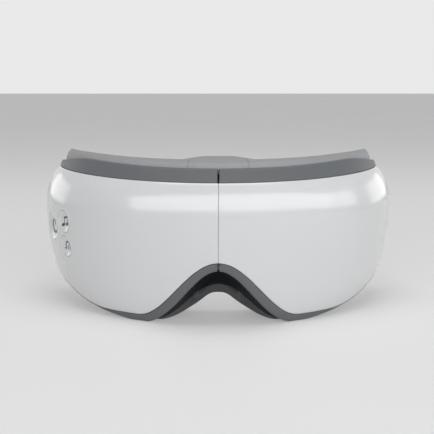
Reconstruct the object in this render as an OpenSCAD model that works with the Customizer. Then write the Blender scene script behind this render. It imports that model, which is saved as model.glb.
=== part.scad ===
/* [Body] */
// Half of the widest outside width
half_width = 104.5; // [98:0.5:112]
// Depth radius of the wrap round the head
wrap_depth = 84; // [78:0.5:92]
// Angle along the wrap at which each arm ends
arm_end = 97; // [93:0.5:100]
// Angle at which the rounded arm tip begins
tip_start = 84; // [80:0.5:88]
// How far the tip's top and bottom edges close in
tip_drop = 8; // [4:0.5:10]
// How far the tip's outside tucks in
tip_tuck = 1.5; // [0.5:0.25:2]

/* [White shell] */
// Wall thickness of the shell
shell_wall = 2.2; // [1.6:0.1:2.6]
// Height of the widest line of the shell
crown_z = 57; // [52:0.5:60]
// Height of the top edge at the centre
top_z = 77.4; // [75:0.2:79]
// Rise of the top edge towards the arms
top_rise = 2.7; // [1:0.1:4]
// Fall of the top edge where the arm ends
top_fall = 1.5; // [0.5:0.1:2]
// Inward roll of the top edge at the front
top_roll = 9.5; // [7:0.5:11]
// Extra roll of the top edge at the sides
top_roll_side = 5; // [3:0.5:6]
// Inward roll of the bottom edge at the front
low_roll = 11; // [8:0.5:13]
// Extra roll of the bottom edge at the sides
low_roll_side = 10; // [7:0.5:12]
// Height of the shell's edge over the nose
arch_z = 35.1; // [31:0.1:36.5]
// Half width of the nose arch
arch_half = 46.8; // [44:0.2:49]
// Rise of the bottom edge towards the arms
side_rise = 21; // [18:0.5:24]

/* [Trim frame] */
// Wall thickness of the frame
frame_wall = 2; // [1.6:0.1:2.4]
// Height of the grey band above the shell
band_top = 7.1; // [6:0.1:8]
// How far that band narrows towards the arms
band_fall = 4; // [3:0.1:4.4]
// Inward lean of the band above the shell
band_lean = 4; // [3:0.25:5]
// Height of the grey rim below the shell
band_low = 3.8; // [3:0.1:4.6]
// Share of that rim's height that is gone in the arms
rim_thin = 0.93; // [0.8:0.01:0.94]
// Width of the foot that the mask stands on
foot_w = 6; // [5:0.25:7]
// Height that the foot is flattened by where it stands
foot_flat = 0.7; // [0.5:0.1:1.1]
// Depth of the step that holds the pad's edge
pad_step = 3; // [2:0.25:4]
// Gap between the two halves of the frame
centre_gap = 1; // [0.6:0.1:1.6]
// Gap between the two halves of the shell
seam_gap = 0.3; // [0.2:0.05:0.6]

/* [Depth] */
// Depth of the electronics bay at the front
bay_depth = 17; // [16:0.25:18]
// Depth of the bay in the arms
arm_bay = 12.5; // [12:0.25:13.5]
// Whole thickness over the eyes
pad_depth = 38; // [36.5:0.25:40]
// Whole thickness at the arm tips
arm_depth = 20; // [19:0.25:21]
// Gap between a soft piece and what carries it
soft_gap = 0.3; // [0.2:0.05:0.5]

/* [Pad] */
// Height of the pad's roll above the band
roll_rise = 3.9; // [3:0.1:5]
// Fall of the roll where the arm ends
roll_fall = 2; // [1:0.25:3]
// Height of the forehead swell behind the roll
brow_rise = 2.8; // [1:0.2:4]
// Half width of the forehead swell
brow_half = 27; // [20:1:34]
// Depth of the hollow round each eye
eye_hollow = 5; // [2:0.25:7]
// Height of the nose flap's lower edge
flap_z = 11.5; // [8:0.5:14]
// Thickness of the hem along that edge
hem_t = 6.5; // [5:0.25:8]
// Thickness of the nose flap
flap_t = 4; // [3:0.25:5]
// Angle at which the side pads begin
pad_start = 10; // [9:0.25:11.5]

/* [Hinge] */
// Largest fold of one half against the other
fold_angle = 105; // [60:1:105]
// Distance of the hinge axis behind the front
hinge_back = 31; // [30:0.25:31.5]
// Radius of the hinge barrel
knuckle_r = 3; // [2.6:0.1:3.2]
// Radius of the hinge pin
pin_r = 1.25; // [1:0.05:1.5]
// Clearance of the pin in its bores
pin_clear = 0.05; // [0.03:0.01:0.08]
// Height of the lowest knuckle
hinge_z = 42; // [40:0.5:44]
// Length of one knuckle
knuckle_l = 6.8; // [6:0.1:7]
// Gap between knuckles
knuckle_gap = 0.3; // [0.2:0.05:0.5]
// Thickness of a hinge leaf
leaf_t = 1.6; // [1.2:0.1:2]
// Width of a hinge leaf
leaf_w = 14; // [12:0.5:15]

/* [Buttons] */
// Radius of the power button
power_r = 8; // [7:0.1:8.4]
// Radius of the music button
music_r = 6.3; // [5.4:0.1:6.5]
// Radius of the mode button
mode_r = 6; // [5:0.1:6.3]
// Angle of the power button along the wrap
power_at = 68; // [67:0.25:69]
// Height of the power button
power_z = 46.7; // [45:0.1:48]
// Angle of the two small buttons along the wrap
small_at = 57.2; // [56:0.25:58]
// Height of the music button
music_z = 51.5; // [51.2:0.1:53]
// Height of the mode button
mode_z = 37.2; // [35.5:0.1:37.5]
// Travel of each button
press = 0.6; // [0.3:0.05:0.8]
// Gap round each button
button_gap = 0.25; // [0.2:0.05:0.35]
// Depth of the dish in each button
dish = 0.7; // [0.3:0.1:1]

/* [Strap] */
// Width of the elastic band
strap_w = 24; // [20:0.5:25]
// Thickness of the elastic band
strap_t = 1.4; // [1:0.1:1.6]
// Reach of the band behind the arm tips
strap_loop = 84; // [60:1:110]
// Radius of the bar that holds the band
bar_r = 1.5; // [1.2:0.1:1.6]
// Length of the hook tab that closes the band
tab_l = 34; // [26:1:44]

/* [Air system] */
// Thickness of the air cells
cell_t = 6; // [4:0.25:6.5]
// Radius of the pump and its motor
pump_r = 5.5; // [4.5:0.1:5.6]
// Length of the pump's motor
pump_motor_l = 15; // [12:0.5:16]
// Length of the pump's head
pump_head_l = 12; // [10:0.5:13]
// Radius of the air hoses
hose_r = 1.5; // [1.2:0.05:1.6]
// Lift of the valve's plunger
valve_lift = 1.5; // [1:0.1:2]

/* [Electronics] */
// Length of the battery
battery_l = 40; // [34:0.5:42]
// Height of the battery
battery_h = 28; // [24:0.5:29]
// Thickness of the battery
battery_t = 6.5; // [5:0.25:7]
// Thickness of the circuit boards
board_t = 1.2; // [0.8:0.1:1.6]
// Radius of the speakers
speaker_r = 9; // [7.5:0.25:9]
// Thickness of the speakers
speaker_t = 4.2; // [3:0.2:5]
// Radius of the vibration motors
vib_r = 3.5; // [3:0.1:4]
// Length of the vibration motors
vib_l = 8; // [6:0.5:9]
// Thickness of the heating film
film_t = 0.5; // [0.4:0.05:0.8]

/* [Fasteners] */
// Radius of a case screw's thread
screw_r = 1; // [0.8:0.05:1.1]
// Radius of a case screw's head
head_r = 1.9; // [1.6:0.05:2.1]
// Radius of the screw bosses
boss_r = 2.4; // [2.2:0.1:2.6]
// Length of a hinge screw
hinge_screw_l = 3.4; // [3:0.1:4]

/* [Hidden] */
$fn = 32;

WHITE = [0.86, 0.87, 0.88];
DARK = [0.44, 0.46, 0.48];
SOFT = [0.63, 0.64, 0.65];

// Smooth step from 0 at lo to 1 at hi
function sm(x, lo, hi) = let(t = max(0, min(1, (x - lo) / (hi - lo)))) t * t * (3 - 2 * t);
// Bell of height 1 and half width w
function bell(x, w) = abs(x) < w ? (1 + cos(180 * x / w)) / 2 : 0;

// The wrap is half an ellipse seen from above, and d is a depth square to it, inwards
depth_all = wrap_depth * (1 - cos(arm_end)) + strap_loop;
function outward(p) = let(v = [wrap_depth * sin(p), -half_width * cos(p)]) v / norm(v);
function place(p, d, z) =
  let(n = outward(p))
  [half_width * sin(p) - n.x * d, wrap_depth * (1 - cos(p)) - n.y * d - depth_all / 2, z];
function turn(p) = atan2(wrap_depth * sin(p), half_width * cos(p));
function angle_at(x) = asin(x / half_width);

// 0 along the wrap and 1 at the end of the arm, as a quarter circle
function tip(p) =
  let(u = max(0, min(0.999, (abs(p) - tip_start) / (arm_end - tip_start)))) 1 - sqrt(1 - u * u);

// The shell's section is two quarter ellipses that meet at the crown line
top_angle = 66.5;
low_h = crown_z + 1;
function shell_top(p) =
  top_z + top_rise * sm(abs(p), 0, 80) - top_fall * sm(abs(p), 76, 92) - tip_drop * tip(p);
function shell_low(p) =
  band_low + (arch_z - band_low) * bell(half_width * sin(p), arch_half)
  + side_rise * sm(abs(p), 40, 94) + tip_drop * tip(p);
function top_c(p) = top_roll + top_roll_side * sm(abs(p), 20, 75);
function low_c(p) = low_roll + low_roll_side * sm(abs(p), 20, 75);
function top_h(p) = (shell_top(p) - crown_z) / sin(top_angle);
function low_angle(p) = asin((crown_z - shell_low(p)) / low_h);
// The shell's outside, and a surface k inside it, at the angle w of its section
function shell_at(p, w, k = 0) =
  let(
    c = w > 0 ? top_c(p) : low_c(p),
    h = w > 0 ? top_h(p) : low_h,
    m = norm([h * cos(w), c * sin(w)])
  )
  [c * (1 - cos(w)) + tip_tuck * tip(p) + k * h * cos(w) / m,
   crown_z + h * sin(w) - k * c * sin(w) / m];
function shell_angle(p, v) = -low_angle(p) + v * (top_angle + low_angle(p));
function shell_inset(p, z) =
  let(t = z - crown_z, h = t > 0 ? top_h(p) : low_h, c = t > 0 ? top_c(p) : low_c(p))
  c * (1 - sqrt(max(0, 1 - t * t / h / h))) + tip_tuck * tip(p);
function shell_tilt(p, z) =
  let(t = z - crown_z, h = t > 0 ? top_h(p) : low_h, c = t > 0 ? top_c(p) : low_c(p), w = asin(t / h))
  -atan2(c * sin(w), h * cos(w));

// Depths and heights that the frame, the pads and all that lies between them share
function bay(p) = bay_depth - (bay_depth - arm_bay) * sm(abs(p), 50, 88);
function deck(p) = bay(p) + frame_wall;
function face(p) =
  pad_depth - (pad_depth - arm_depth) * sm(abs(p), 35, 90) - tip_tuck * 0.6 * tip(p);
function lip_top(p) = shell_at(p, top_angle);
function lip_low(p) = shell_at(p, -low_angle(p));
function band_h(p) =
  band_top + 0.1 * band_top * sm(abs(p), 15, 50) - band_fall * sm(abs(p), 50, 80) - 0.5 * tip(p);
function band_d(p) = lip_top(p)[0] + band_lean * (1 - 0.65 * sm(abs(p), 45, 82));
function band_z(p) = lip_top(p)[1] + band_h(p);
// The rim keeps its width across a slope, so it is taller there, and it thins out towards the arms
function lip_slope(p) =
  (shell_low(p + 0.5) - shell_low(p - 0.5)) / norm(place(p + 0.5, 0, 0) - place(p - 0.5, 0, 0));
function rim_h(p) =
  (band_low + foot_flat) * pow(1 + pow(lip_slope(p), 2), 0.7) * (1 - rim_thin * sm(abs(p), 22, 52));
function foot_z(p) = max(0, shell_low(p) - rim_h(p));
function foot_d(p) = lip_low(p)[0] + 0.8;
ledge_t = 2;

// Angles at which the lofted pieces have their sections, closer together round the tip
pad_steps = 19;
tip_steps = 6;
function centre_angles(from) = [from, pad_start / 4, pad_start / 2, pad_start * 3 / 4];
function pad_angles(from) = concat(
  [from],
  [for (i = [1:pad_steps - 1]) pad_start + (tip_start - pad_start) * i / pad_steps],
  [for (i = [0:tip_steps]) tip_start + (arm_end - tip_start) * sin(90 * i / tip_steps)]
);
function wrap_angles(from) = concat(centre_angles(from), pad_angles(pad_start));

// Triangles that fill a closed loop of points, one corner cut off at a time, the shortest cut first
function bend(a, b, c) = (b[0] - a[0]) * (c[1] - b[1]) - (b[1] - a[1]) * (c[0] - b[0]);
function in_corner(a, b, c, q) =
  q != a && q != b && q != c && bend(a, b, q) >= 0 && bend(b, c, q) >= 0 && bend(c, a, q) >= 0;
function cut_length(loop, left, i) =
  let(n = len(left), a = loop[left[(i + n - 1) % n]], b = loop[left[i]], c = loop[left[(i + 1) % n]])
  bend(a, b, c) > 0 && len([for (j = left) if (in_corner(a, b, c, loop[j])) j]) == 0 ? norm(c - a) : 1e6;
function fill(loop, left) =
  len(left) < 4 ? [left] :
  let(
    n = len(left),
    cuts = [for (i = [0:n - 1]) cut_length(loop, left, i)],
    i = search(min(cuts), cuts)[0]
  )
  concat(
    [[left[(i + n - 1) % n], left[i], left[(i + 1) % n]]],
    fill(loop, [for (j = [0:n - 1]) if (j != i) left[j]])
  );

// Solid through sections of equal length, each a closed loop of depth and height
module loft(angles, sections) {
  n = len(angles);
  m = len(sections[0]);
  points = [for (i = [0:n - 1]) for (q = sections[i]) place(angles[i], q[0], q[1])];
  sides = [
    for (i = [0:n - 2]) for (j = [0:m - 1])
      let(a = i * m + j, b = i * m + (j + 1) % m)
      for (f = [[a, a + m, b + m], [a, b + m, b]]) f
  ];
  every = [for (j = [0:m - 1]) j];
  last = (n - 1) * m;
  ends = concat(
    fill(sections[0], every),
    [for (f = fill(sections[n - 1], every)) [last + f[2], last + f[1], last + f[0]]]
  );
  polyhedron(points, concat(sides, ends), convexity = 8);
}

// Upright slab that follows the wrap, between two angles, two depths and two heights
module band(p0, p1, d0, d1, z0, z1, steps = 10) {
  arc = [for (i = [0:steps]) p0 + (p1 - p0) * i / steps];
  outer = [for (p = arc) let(q = place(p, d0, 0)) [q[0], q[1]]];
  inner = [for (i = [steps:-1:0]) let(q = place(arc[i], d1, 0)) [q[0], q[1]]];
  translate([0, 0, z0]) linear_extrude(z1 - z0) polygon(concat(outer, inner));
}

// Puts a child at a place on the wrap, with X along it, Y inwards and Z up
module at(p, d, z) {
  translate(place(p, d, z)) rotate([0, 0, turn(p)]) children();
}

// Cylinder that points inwards from where at() puts it
module inwards(r, l, from = 0) {
  translate([0, from, 0]) rotate([-90, 0, 0]) cylinder(r = r, h = l);
}

// Case screws: angle along the wrap and height of each
screw_places = [[8.5, 68], [8.5, 42], [41, 68], [32, 14], [73, 67], [77, 37]];
screw_slack = 0.05;
thread_from = 1.5 * shell_wall;
module each_screw(side) {
  for (s = screw_places) at(s[0], 0, s[1]) children();
}
function boss_from(s) =
  max(shell_inset(s[0], s[1] - boss_r), shell_inset(s[0], s[1] + boss_r)) + 0.3;

// White front shell with its screw bosses, the right half
shell_steps = 10;
module front_shell() {
  start = angle_at(seam_gap / 2);
  angles = wrap_angles(start);
  section = [
    for (p = angles) concat(
      [for (i = [shell_steps:-1:0]) shell_at(p, shell_angle(p, i / shell_steps))],
      [for (i = [0:shell_steps]) shell_at(p, shell_angle(p, i / shell_steps), shell_wall)]
    )
  ];
  loft(angles, section);
}

module screw_bosses() {
  for (s = screw_places) at(s[0], 0, s[1]) difference() {
    inwards(boss_r, bay(s[0]) - soft_gap - boss_from(s), boss_from(s));
    inwards(screw_r + screw_slack, bay(s[0]), boss_from(s) + thread_from - 0.3);
  }
}

// Where each button sits: angle, height, radius
power_seat = [power_at, power_z, power_r];
music_seat = [small_at, music_z, music_r];
mode_seat = [small_at, mode_z, mode_r];

module at_button(b) {
  mirror([1, 0, 0]) at(b[0], shell_inset(b[0], b[1]), b[1]) rotate([shell_tilt(b[0], b[1]), 0, 0])
    children();
}

module front_shell_right() {
  color(WHITE) {
    front_shell();
    screw_bosses();
  }
}

module front_shell_left() {
  color(WHITE) {
    difference() {
      mirror([1, 0, 0]) front_shell();
      for (b = [power_seat, music_seat, mode_seat])
        at_button(b) inwards(b[2] + button_gap, 2 * shell_wall + 3, -3);
    }
    mirror([1, 0, 0]) screw_bosses();
  }
}

// Dark grey frame that closes the back of the shell and stands on its own foot
function frame_section(p) =
  let(
    t = lip_top(p),
    ti = shell_at(p, top_angle, shell_wall * 0.8),
    b = lip_low(p),
    bi = shell_at(p, -low_angle(p), shell_wall),
    bd = band_d(p),
    bz = band_z(p),
    fd = foot_d(p),
    fz = foot_z(p)
  )
  [
    [bd, bz], [t[0] + 0.1, t[1] + 0.2], [ti[0] + 0.25, ti[1] + 0.2],
    [min(bd + 1, bay(p) - 0.6), bz - pad_step - ledge_t], [bay(p), bz - pad_step - ledge_t],
    [bay(p), fz + pad_step + ledge_t], [fd + 2.6, fz + pad_step + ledge_t],
    [bi[0] + 0.2, bi[1] - 0.2], [b[0] + 0.1, b[1] - 0.2], [fd, fz], [fd + foot_w, fz],
    [fd + foot_w, fz + pad_step], [deck(p), fz + pad_step], [deck(p), bz - pad_step],
    [bd + frame_wall, bz - pad_step], [bd + frame_wall, bz]
  ];

// Charging socket and its opening in the foot
port_at = 62;
port_l = 9.2;
port_w = 3.4;
port_d = foot_d(port_at) + 0.6 * foot_w;
port_z = foot_z(port_at);
module port_outline(grow = 0) {
  r = port_w / 2 + grow;
  for (x = [-1, 1]) translate([x * (port_l - port_w) / 2, 0]) circle(r = r);
  square([port_l - port_w, 2 * r], center = true);
}

// Holes through the deck for hoses and leads: angle and height
hose_hole = [27, 33.2];
cross_hole = [6.6, arch_z + 3.4];
loom_z = cross_hole[1] - 1;
hole_r = hose_r + 0.6;
through = 3 * frame_wall;

module frame_half() {
  angles = wrap_angles(angle_at(centre_gap / 2));
  difference() {
    loft(angles, [for (p = angles) frame_section(p)]);
    for (s = screw_places) at(s[0], 0, s[1]) {
      inwards(screw_r + 0.2, through, bay(s[0]) - 2);
      inwards(head_r + 0.2, through, deck(s[0]) - 1.4);
    }
    for (h = [hose_hole, cross_hole]) at(h[0], 0, h[1]) inwards(hole_r, through, bay(h[0]) - 2);
    for (x = [-1, 1] * leaf_hole_x) for (z = leaf_hole_z)
      at(leaf_at, 0, z) translate([x, 0, 0]) inwards(screw_r * 0.8, through, bay(leaf_at) - 2);
  }
}

module trim_frame_right() {
  color(DARK) difference() {
    frame_half();
    at(port_at, port_d, port_z - 1) linear_extrude(ledge_t + pad_step + through) port_outline(0.2);
  }
}

module trim_frame_left() {
  color(DARK) mirror([1, 0, 0]) frame_half();
}

// Wall that closes each half of the bay at the fold
wall_t = 1.6;
module centre_wall() {
  p = angle_at(centre_gap / 2 + 0.2);
  edge = [for (v = [0.97, 0.85, 0.7, 0.5, 0.3, 0.15, 0.03]) shell_at(p, shell_angle(p, v), shell_wall + 0.25)];
  fz = foot_z(p) + pad_step + ledge_t + 0.2;
  bz = band_z(p) - pad_step - ledge_t - 0.2;
  keep = [for (q = edge) [q[0], max(fz, min(bz, q[1]))]];
  back = bay(p) - 0.2;
  front = place(0, 0, 0)[1];
  translate([centre_gap / 2 + 0.2, front, 0])
    rotate([90, 0, 90])
      linear_extrude(wall_t)
        polygon(concat(keep, [[back, fz], [back, bz]]));
}

module centre_wall_right() { color(DARK) centre_wall(); }
module centre_wall_left() { color(DARK) mirror([1, 0, 0]) centre_wall(); }

// Soft section: the face side of the pads and the skin between them, from the foot round to the band
function seat_d(p) = band_d(p) + frame_wall + soft_gap;
function across(p, s) = seat_d(p) + s * (face(p) - seat_d(p));
function roll_z(p) =
  lip_top(p)[1] + band_top + roll_rise - 0.5 * sm(abs(p), 12, 45) - roll_fall * sm(abs(p), 78, 92)
  - 1.5 * tip(p);
function aside(p) = half_width * abs(sin(p));
function brow(p) = brow_rise * (1 - sm(aside(p), 0.48 * brow_half, brow_half));
function flap(p) = bell(aside(p), 30);
// The lower edge hangs to a blunt point at the nose, lies on the table beside it and rises at the arms
function flap_low(p) = min(
  foot_z(p),
  flap_z / (1 + pow(aside(p) / 14, 2)) * (1 - sm(aside(p), 20, 38)) + foot_z(p) * sm(abs(p), 38, 56)
);
function hollow(p, z) =
  eye_hollow * exp(-pow((abs(p) - 24) / 11, 2) - pow((z - 44) / 17, 2)) + 1.2 * flap(p) * exp(-pow((z - 34) / 12, 2));
function face_at(p, u) =
  let(z0 = flap_low(p) + 6, z1 = roll_z(p) - 9, z = z0 + (z1 - z0) * u)
  [face(p) - hollow(p, z) + 0.8 * sin(180 * u), z];
function soft_outside(p) =
  let(
    fz = foot_z(p),
    low = flap_low(p),
    f = face(p),
    s = foot_d(p) + foot_w + soft_gap,
    rz = roll_z(p),
    bz = band_z(p),
    k = flap(p),
    h = fz - low,
    flat = 1 - sm(h, 0, 6),
    hem = s + 0.5 + (f - hem_t - s) * (1 - sm(aside(p), 14, 37)),
    wall = hem + (hem_t - flap_t) * k
  )
  concat(
    [[s, fz], [s + 0.5 * (wall - s), fz], [wall - 0.1 * (wall - s), fz - 0.04 * h],
     [wall + 0.2, fz - 0.3 * h], [wall + 0.3 * flat, low + 0.46 * h], [hem + 0.4 + 0.1 * flat, low + 0.34 * h],
     [hem + 0.7 * flat, low + 0.14 * h], [hem + 1, low], [f - 1.4, low], [f - 0.2, low + 1.6], [f + 0.1, low + 4]],
    [for (i = [0:7]) face_at(p, i / 7)],
    [[across(p, 0.97), rz - 4.6 + 0.6 * brow(p)], [across(p, 0.88), rz - 2.4 + brow(p)],
     [across(p, 0.74), rz - 1.6 + brow(p)], [across(p, 0.6), rz - 1.3 + 0.8 * brow(p)],
     [across(p, 0.47), rz - 1 + 0.3 * brow(p)], [across(p, 0.38), rz - 0.2], [across(p, 0.28), rz],
     [across(p, 0.15), rz - 0.4], [across(p, 0.05), rz - 1.6], [seat_d(p), bz + 0.2]]
  );

// Hollow in the back of each pad for the air cell and the heating film
cell_low = 27;
cell_high = 72;
cell_from = 17;
cell_to = 54;
cell_room = 2 * soft_gap + cell_t + film_t + 0.3;
function pocket(p) = cell_room * sm(abs(p), pad_start + 0.5, cell_from - 1) * (1 - sm(abs(p), cell_to + 1, cell_to + 8));
function pocket_low(p) = max(cell_low, foot_z(p) + pad_step + 3);
function pocket_high(p) = min(cell_high, band_z(p) - pad_step - 3);
function pad_section(p) =
  let(g = soft_gap, back = deck(p) + g, fz = foot_z(p) + pad_step - g, bz = band_z(p) - pad_step + g)
  concat(
    soft_outside(p),
    [[seat_d(p), bz], [back, bz], [back, pocket_high(p) + 1], [back + pocket(p), pocket_high(p)],
     [back + pocket(p), pocket_low(p)], [back, pocket_low(p) - 1], [back, fz], [foot_d(p) + foot_w + g, fz]]
  );

module face_pad() {
  angles = pad_angles(pad_start + 0.1);
  loft(angles, [for (p = angles) pad_section(p)]);
}

module face_pad_right() { color(SOFT) face_pad(); }
module face_pad_left() { color(SOFT) mirror([1, 0, 0]) face_pad(); }

// Soft skin over the hinge, which joins the pads, swells at the forehead and hangs over the nose
skin_back = hinge_back + knuckle_r + soft_gap;
skin_floor = loom_z - hose_r - 1.9;
function skin_section(p) =
  let(g = soft_gap, fz = foot_z(p) + pad_step - g, bz = band_z(p) - pad_step + g, back = deck(p) + g)
  concat(
    soft_outside(p),
    [[seat_d(p), bz], [back, bz], [skin_back - 0.3 * (abs(p) / pad_start), bz],
     [skin_back - 0.3 * (abs(p) / pad_start), skin_floor], [back, skin_floor], [back, fz],
     [foot_d(p) + foot_w + g, fz]]
  );

module nose_skin() {
  right = concat([pad_start / 4, pad_start / 2, pad_start * 3 / 4], [pad_start - 0.1]);
  angles = concat([for (i = [3:-1:0]) -right[i]], [0], right);
  color(SOFT) loft(angles, [for (p = angles) skin_section(p)]);
}

// Butt hinge: odd knuckles belong to the right leaf and even ones to the left
knuckles = 5;
hinge_h = knuckles * knuckle_l + (knuckles - 1) * knuckle_gap;
axis_y = hinge_back - depth_all / 2;
leaf_x = centre_gap / 2 + 0.9 + leaf_w / 2;
leaf_at = asin(leaf_x / (half_width - (bay_depth + frame_wall) * wrap_depth / half_width));
leaf_seat = leaf_w * leaf_w / 800 + 0.08;
leaf_hole_x = 4;
leaf_hole_z = [hinge_z + 6, hinge_z + hinge_h - 6];
function knuckle_z(i) = hinge_z + i * (knuckle_l + knuckle_gap);

module leaf_right(own) {
  plate_y = place(leaf_at, deck(leaf_at) + leaf_seat, 0)[1];
  difference() {
    union() {
      at(leaf_at, deck(leaf_at) + leaf_seat, hinge_z)
        translate([-leaf_w / 2, 0, 0]) cube([leaf_w, leaf_t, hinge_h]);
      for (i = own) translate([centre_gap / 2 + 0.3, plate_y, knuckle_z(i)])
        cube([leaf_t, axis_y - plate_y, knuckle_l]);
      for (i = own) translate([0, axis_y, knuckle_z(i)]) cylinder(r = knuckle_r, h = knuckle_l);
    }
    translate([0, axis_y, hinge_z - 1]) cylinder(r = pin_r + pin_clear, h = hinge_h + 2);
    for (x = [-1, 1] * leaf_hole_x) for (z = leaf_hole_z)
      at(leaf_at, deck(leaf_at), z) translate([x, 0, 0]) inwards(screw_r + 0.1, 4, -1);
  }
}

module hinge_leaf_right() { color("silver") leaf_right([0, 2, 4]); }
module hinge_leaf_left() { color("silver") mirror([1, 0, 0]) leaf_right([1, 3]); }

module hinge_pin() {
  color("gray") translate([0, axis_y, hinge_z - 0.9]) {
    cylinder(r = pin_r, h = hinge_h + 1.8);
    cylinder(r = pin_r + 0.8, h = 0.8);
    translate([0, 0, hinge_h + 1]) cylinder(r = pin_r + 0.8, h = 0.8);
  }
}

module hinge_screws() {
  color("dimgray") for (x = [-1, 1] * leaf_hole_x) for (z = leaf_hole_z)
    at(leaf_at, deck(leaf_at) + leaf_seat + leaf_t, z) translate([x, 0, 0]) {
      inwards(screw_r * 0.8 - 0.05, hinge_screw_l, -hinge_screw_l);
      inwards(screw_r + 0.7, 1, 0);
    }
}

module hinge_screws_right() { hinge_screws(); }
module hinge_screws_left() { mirror([1, 0, 0]) hinge_screws(); }

// Button with a dished face, a rim that stays under the shell and a stem to its switch
rim_w = 0.5;
rim_t = 1;
stem_r = 1.6;
cap_top = 0.15;
switch_gap = press + 0.2;
function rim_from(b) = shell_wall + 0.3 + pow(b[2] + rim_w, 2) / 130;
function stem_end(b) = rim_from(b) + rim_t + 1.2;
module button(b) {
  ball = (b[2] * b[2] * 0.72 + dish * dish) / (2 * dish);
  at_button(b) difference() {
    union() {
      inwards(b[2], rim_from(b) + rim_t - cap_top, cap_top);
      inwards(b[2] + button_gap + rim_w, rim_t, rim_from(b));
      inwards(stem_r, stem_end(b) - cap_top - 1, cap_top + 1);
    }
    translate([0, cap_top + dish - ball, 0]) sphere(r = ball, $fn = 64);
  }
}

module power_button() { color(WHITE) button(power_seat); }
module music_button() { color(WHITE) button(music_seat); }
module mode_button() { color(WHITE) button(mode_seat); }

// Switches, their flexible circuit and its carrier
switch_w = 5;
switch_t = 1.6;
flex_d = 3.2 + shell_wall + rim_t + 1.2 + switch_gap + switch_t + 0.8;
flex_t = 0.4;
flex_from = small_at - 4;
flex_to = power_at + 3;
flex_low = mode_z - 4.5;
flex_high = music_z + 4.5;

module tact_switches() {
  color("dimgray") mirror([1, 0, 0]) for (b = [power_seat, music_seat, mode_seat])
    at(b[0], flex_d - 0.25, b[1]) {
      top = stem_end(b) + shell_inset(b[0], b[1]) + switch_gap - flex_d + 0.25;
      translate([-switch_w / 2, -switch_t, -switch_w / 2]) cube([switch_w, switch_t, switch_w]);
      inwards(1.2, -top - switch_t + 0.01, top);
    }
}

module button_flex() {
  color("darkorange") mirror([1, 0, 0])
    band(flex_from, flex_to, flex_d, flex_d + flex_t, flex_low, flex_high);
}

module switch_carrier() {
  color(DARK) mirror([1, 0, 0]) {
    band(flex_from, flex_to, flex_d + flex_t, flex_d + flex_t + 1.2, flex_low, flex_high);
    for (p = [flex_from + 2, flex_to - 2]) at(p, 0, (flex_low + flex_high) / 2)
      inwards(1.5, bay(p) - soft_gap - flex_d - flex_t - 0.6, flex_d + flex_t + 0.6);
  }
}

// Main board with its chips and sockets
board_at = 24.5;
module main_board() {
  color("darkgreen") mirror([1, 0, 0]) at(board_at, bay(board_at) - soft_gap - 3.4, 0) {
    translate([-battery_l / 2, 0, 38]) cube([battery_l, board_t, 26]);
    translate([-14, -1, 42]) cube([9, 1, 9]);
    translate([2, -0.8, 44]) cube([6, 0.8, 8]);
    translate([-4, -0.9, 54]) cube([5, 0.9, 5]);
    translate([10, -3, 56]) cube([6, 3, 4]);
    translate([-12, -3, 57]) cube([8, 3, 4]);
    for (x = [-12, 12]) translate([x, board_t, 51]) rotate([-90, 0, 0]) cylinder(r = 2, h = 3.4 - board_t);
  }
}

// Flat lithium cell
module battery() {
  color("lightsteelblue") at(board_at, bay(board_at) - soft_gap - battery_t, 38) {
    translate([-battery_l / 2, 0, 0]) cube([battery_l - 3, battery_t, battery_h]);
    translate([battery_l / 2 - 3, 1, 1]) cube([3, battery_t - 2, battery_h - 2]);
  }
}

// Air pump: motor, and a head with a round chamber in which the crank turns
pump_at = 51.5;
pump_z = 58;
pump_d = bay(pump_at) - soft_gap - pump_r;
crank_r = 2.2;
crank_off = 0.8;
shaft_r = 0.75;
head_wall = 1.4;
spout_l = 3.2;
module along_wrap(p, d, z) {
  at(p, d, z) rotate([0, 90, 0]) children();
}
module air_pump() {
  color("slategray") along_wrap(pump_at, pump_d, pump_z) {
    difference() {
      translate([0, 0, -pump_motor_l]) cylinder(r = pump_r, h = pump_motor_l);
      translate([0, 0, -pump_motor_l + 2]) cylinder(r = shaft_r + 0.05, h = pump_motor_l);
    }
    difference() {
      cylinder(r = pump_r, h = pump_head_l);
      translate([0, 0, -1]) cylinder(r = pump_r - head_wall, h = pump_head_l - head_wall + 1);
    }
    translate([pump_r - 0.8, 0, pump_head_l - 4]) rotate([0, 90, 0]) cylinder(r = hose_r, h = spout_l);
  }
}

module pump_rotor() {
  color("silver") along_wrap(pump_at, pump_d, pump_z) {
    translate([0, 0, -pump_motor_l + 3]) cylinder(r = shaft_r, h = pump_motor_l);
    translate([crank_off, 0, 0.6]) cylinder(r = crank_r, h = pump_head_l / 2);
  }
}

// Release valve: a coil body with a sprung plunger below it
valve_at = 48.5;
valve_z = 32.5;
valve_w = 8;
valve_h = 12;
valve_d = bay(valve_at) - soft_gap - valve_w / 2;
plunger_r = 1.5;
module air_valve() {
  color("dimgray") at(valve_at, valve_d, valve_z) difference() {
    union() {
      translate([-valve_w / 2, -valve_w / 2, 0]) cube([valve_w, valve_w, valve_h]);
      translate([0, 0, valve_h - 0.5]) cylinder(r = hose_r, h = spout_l + 0.5);
    }
    translate([0, 0, -1]) cylinder(r = plunger_r + 0.05, h = valve_h - 2);
  }
}

module valve_plunger() {
  color("silver") at(valve_at, valve_d, valve_z) {
    translate([0, 0, -valve_lift - 0.5]) cylinder(r = plunger_r, h = valve_h - 3);
    translate([0, 0, -valve_lift - 1.5]) cylinder(r = plunger_r + 1, h = 1);
  }
}

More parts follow.
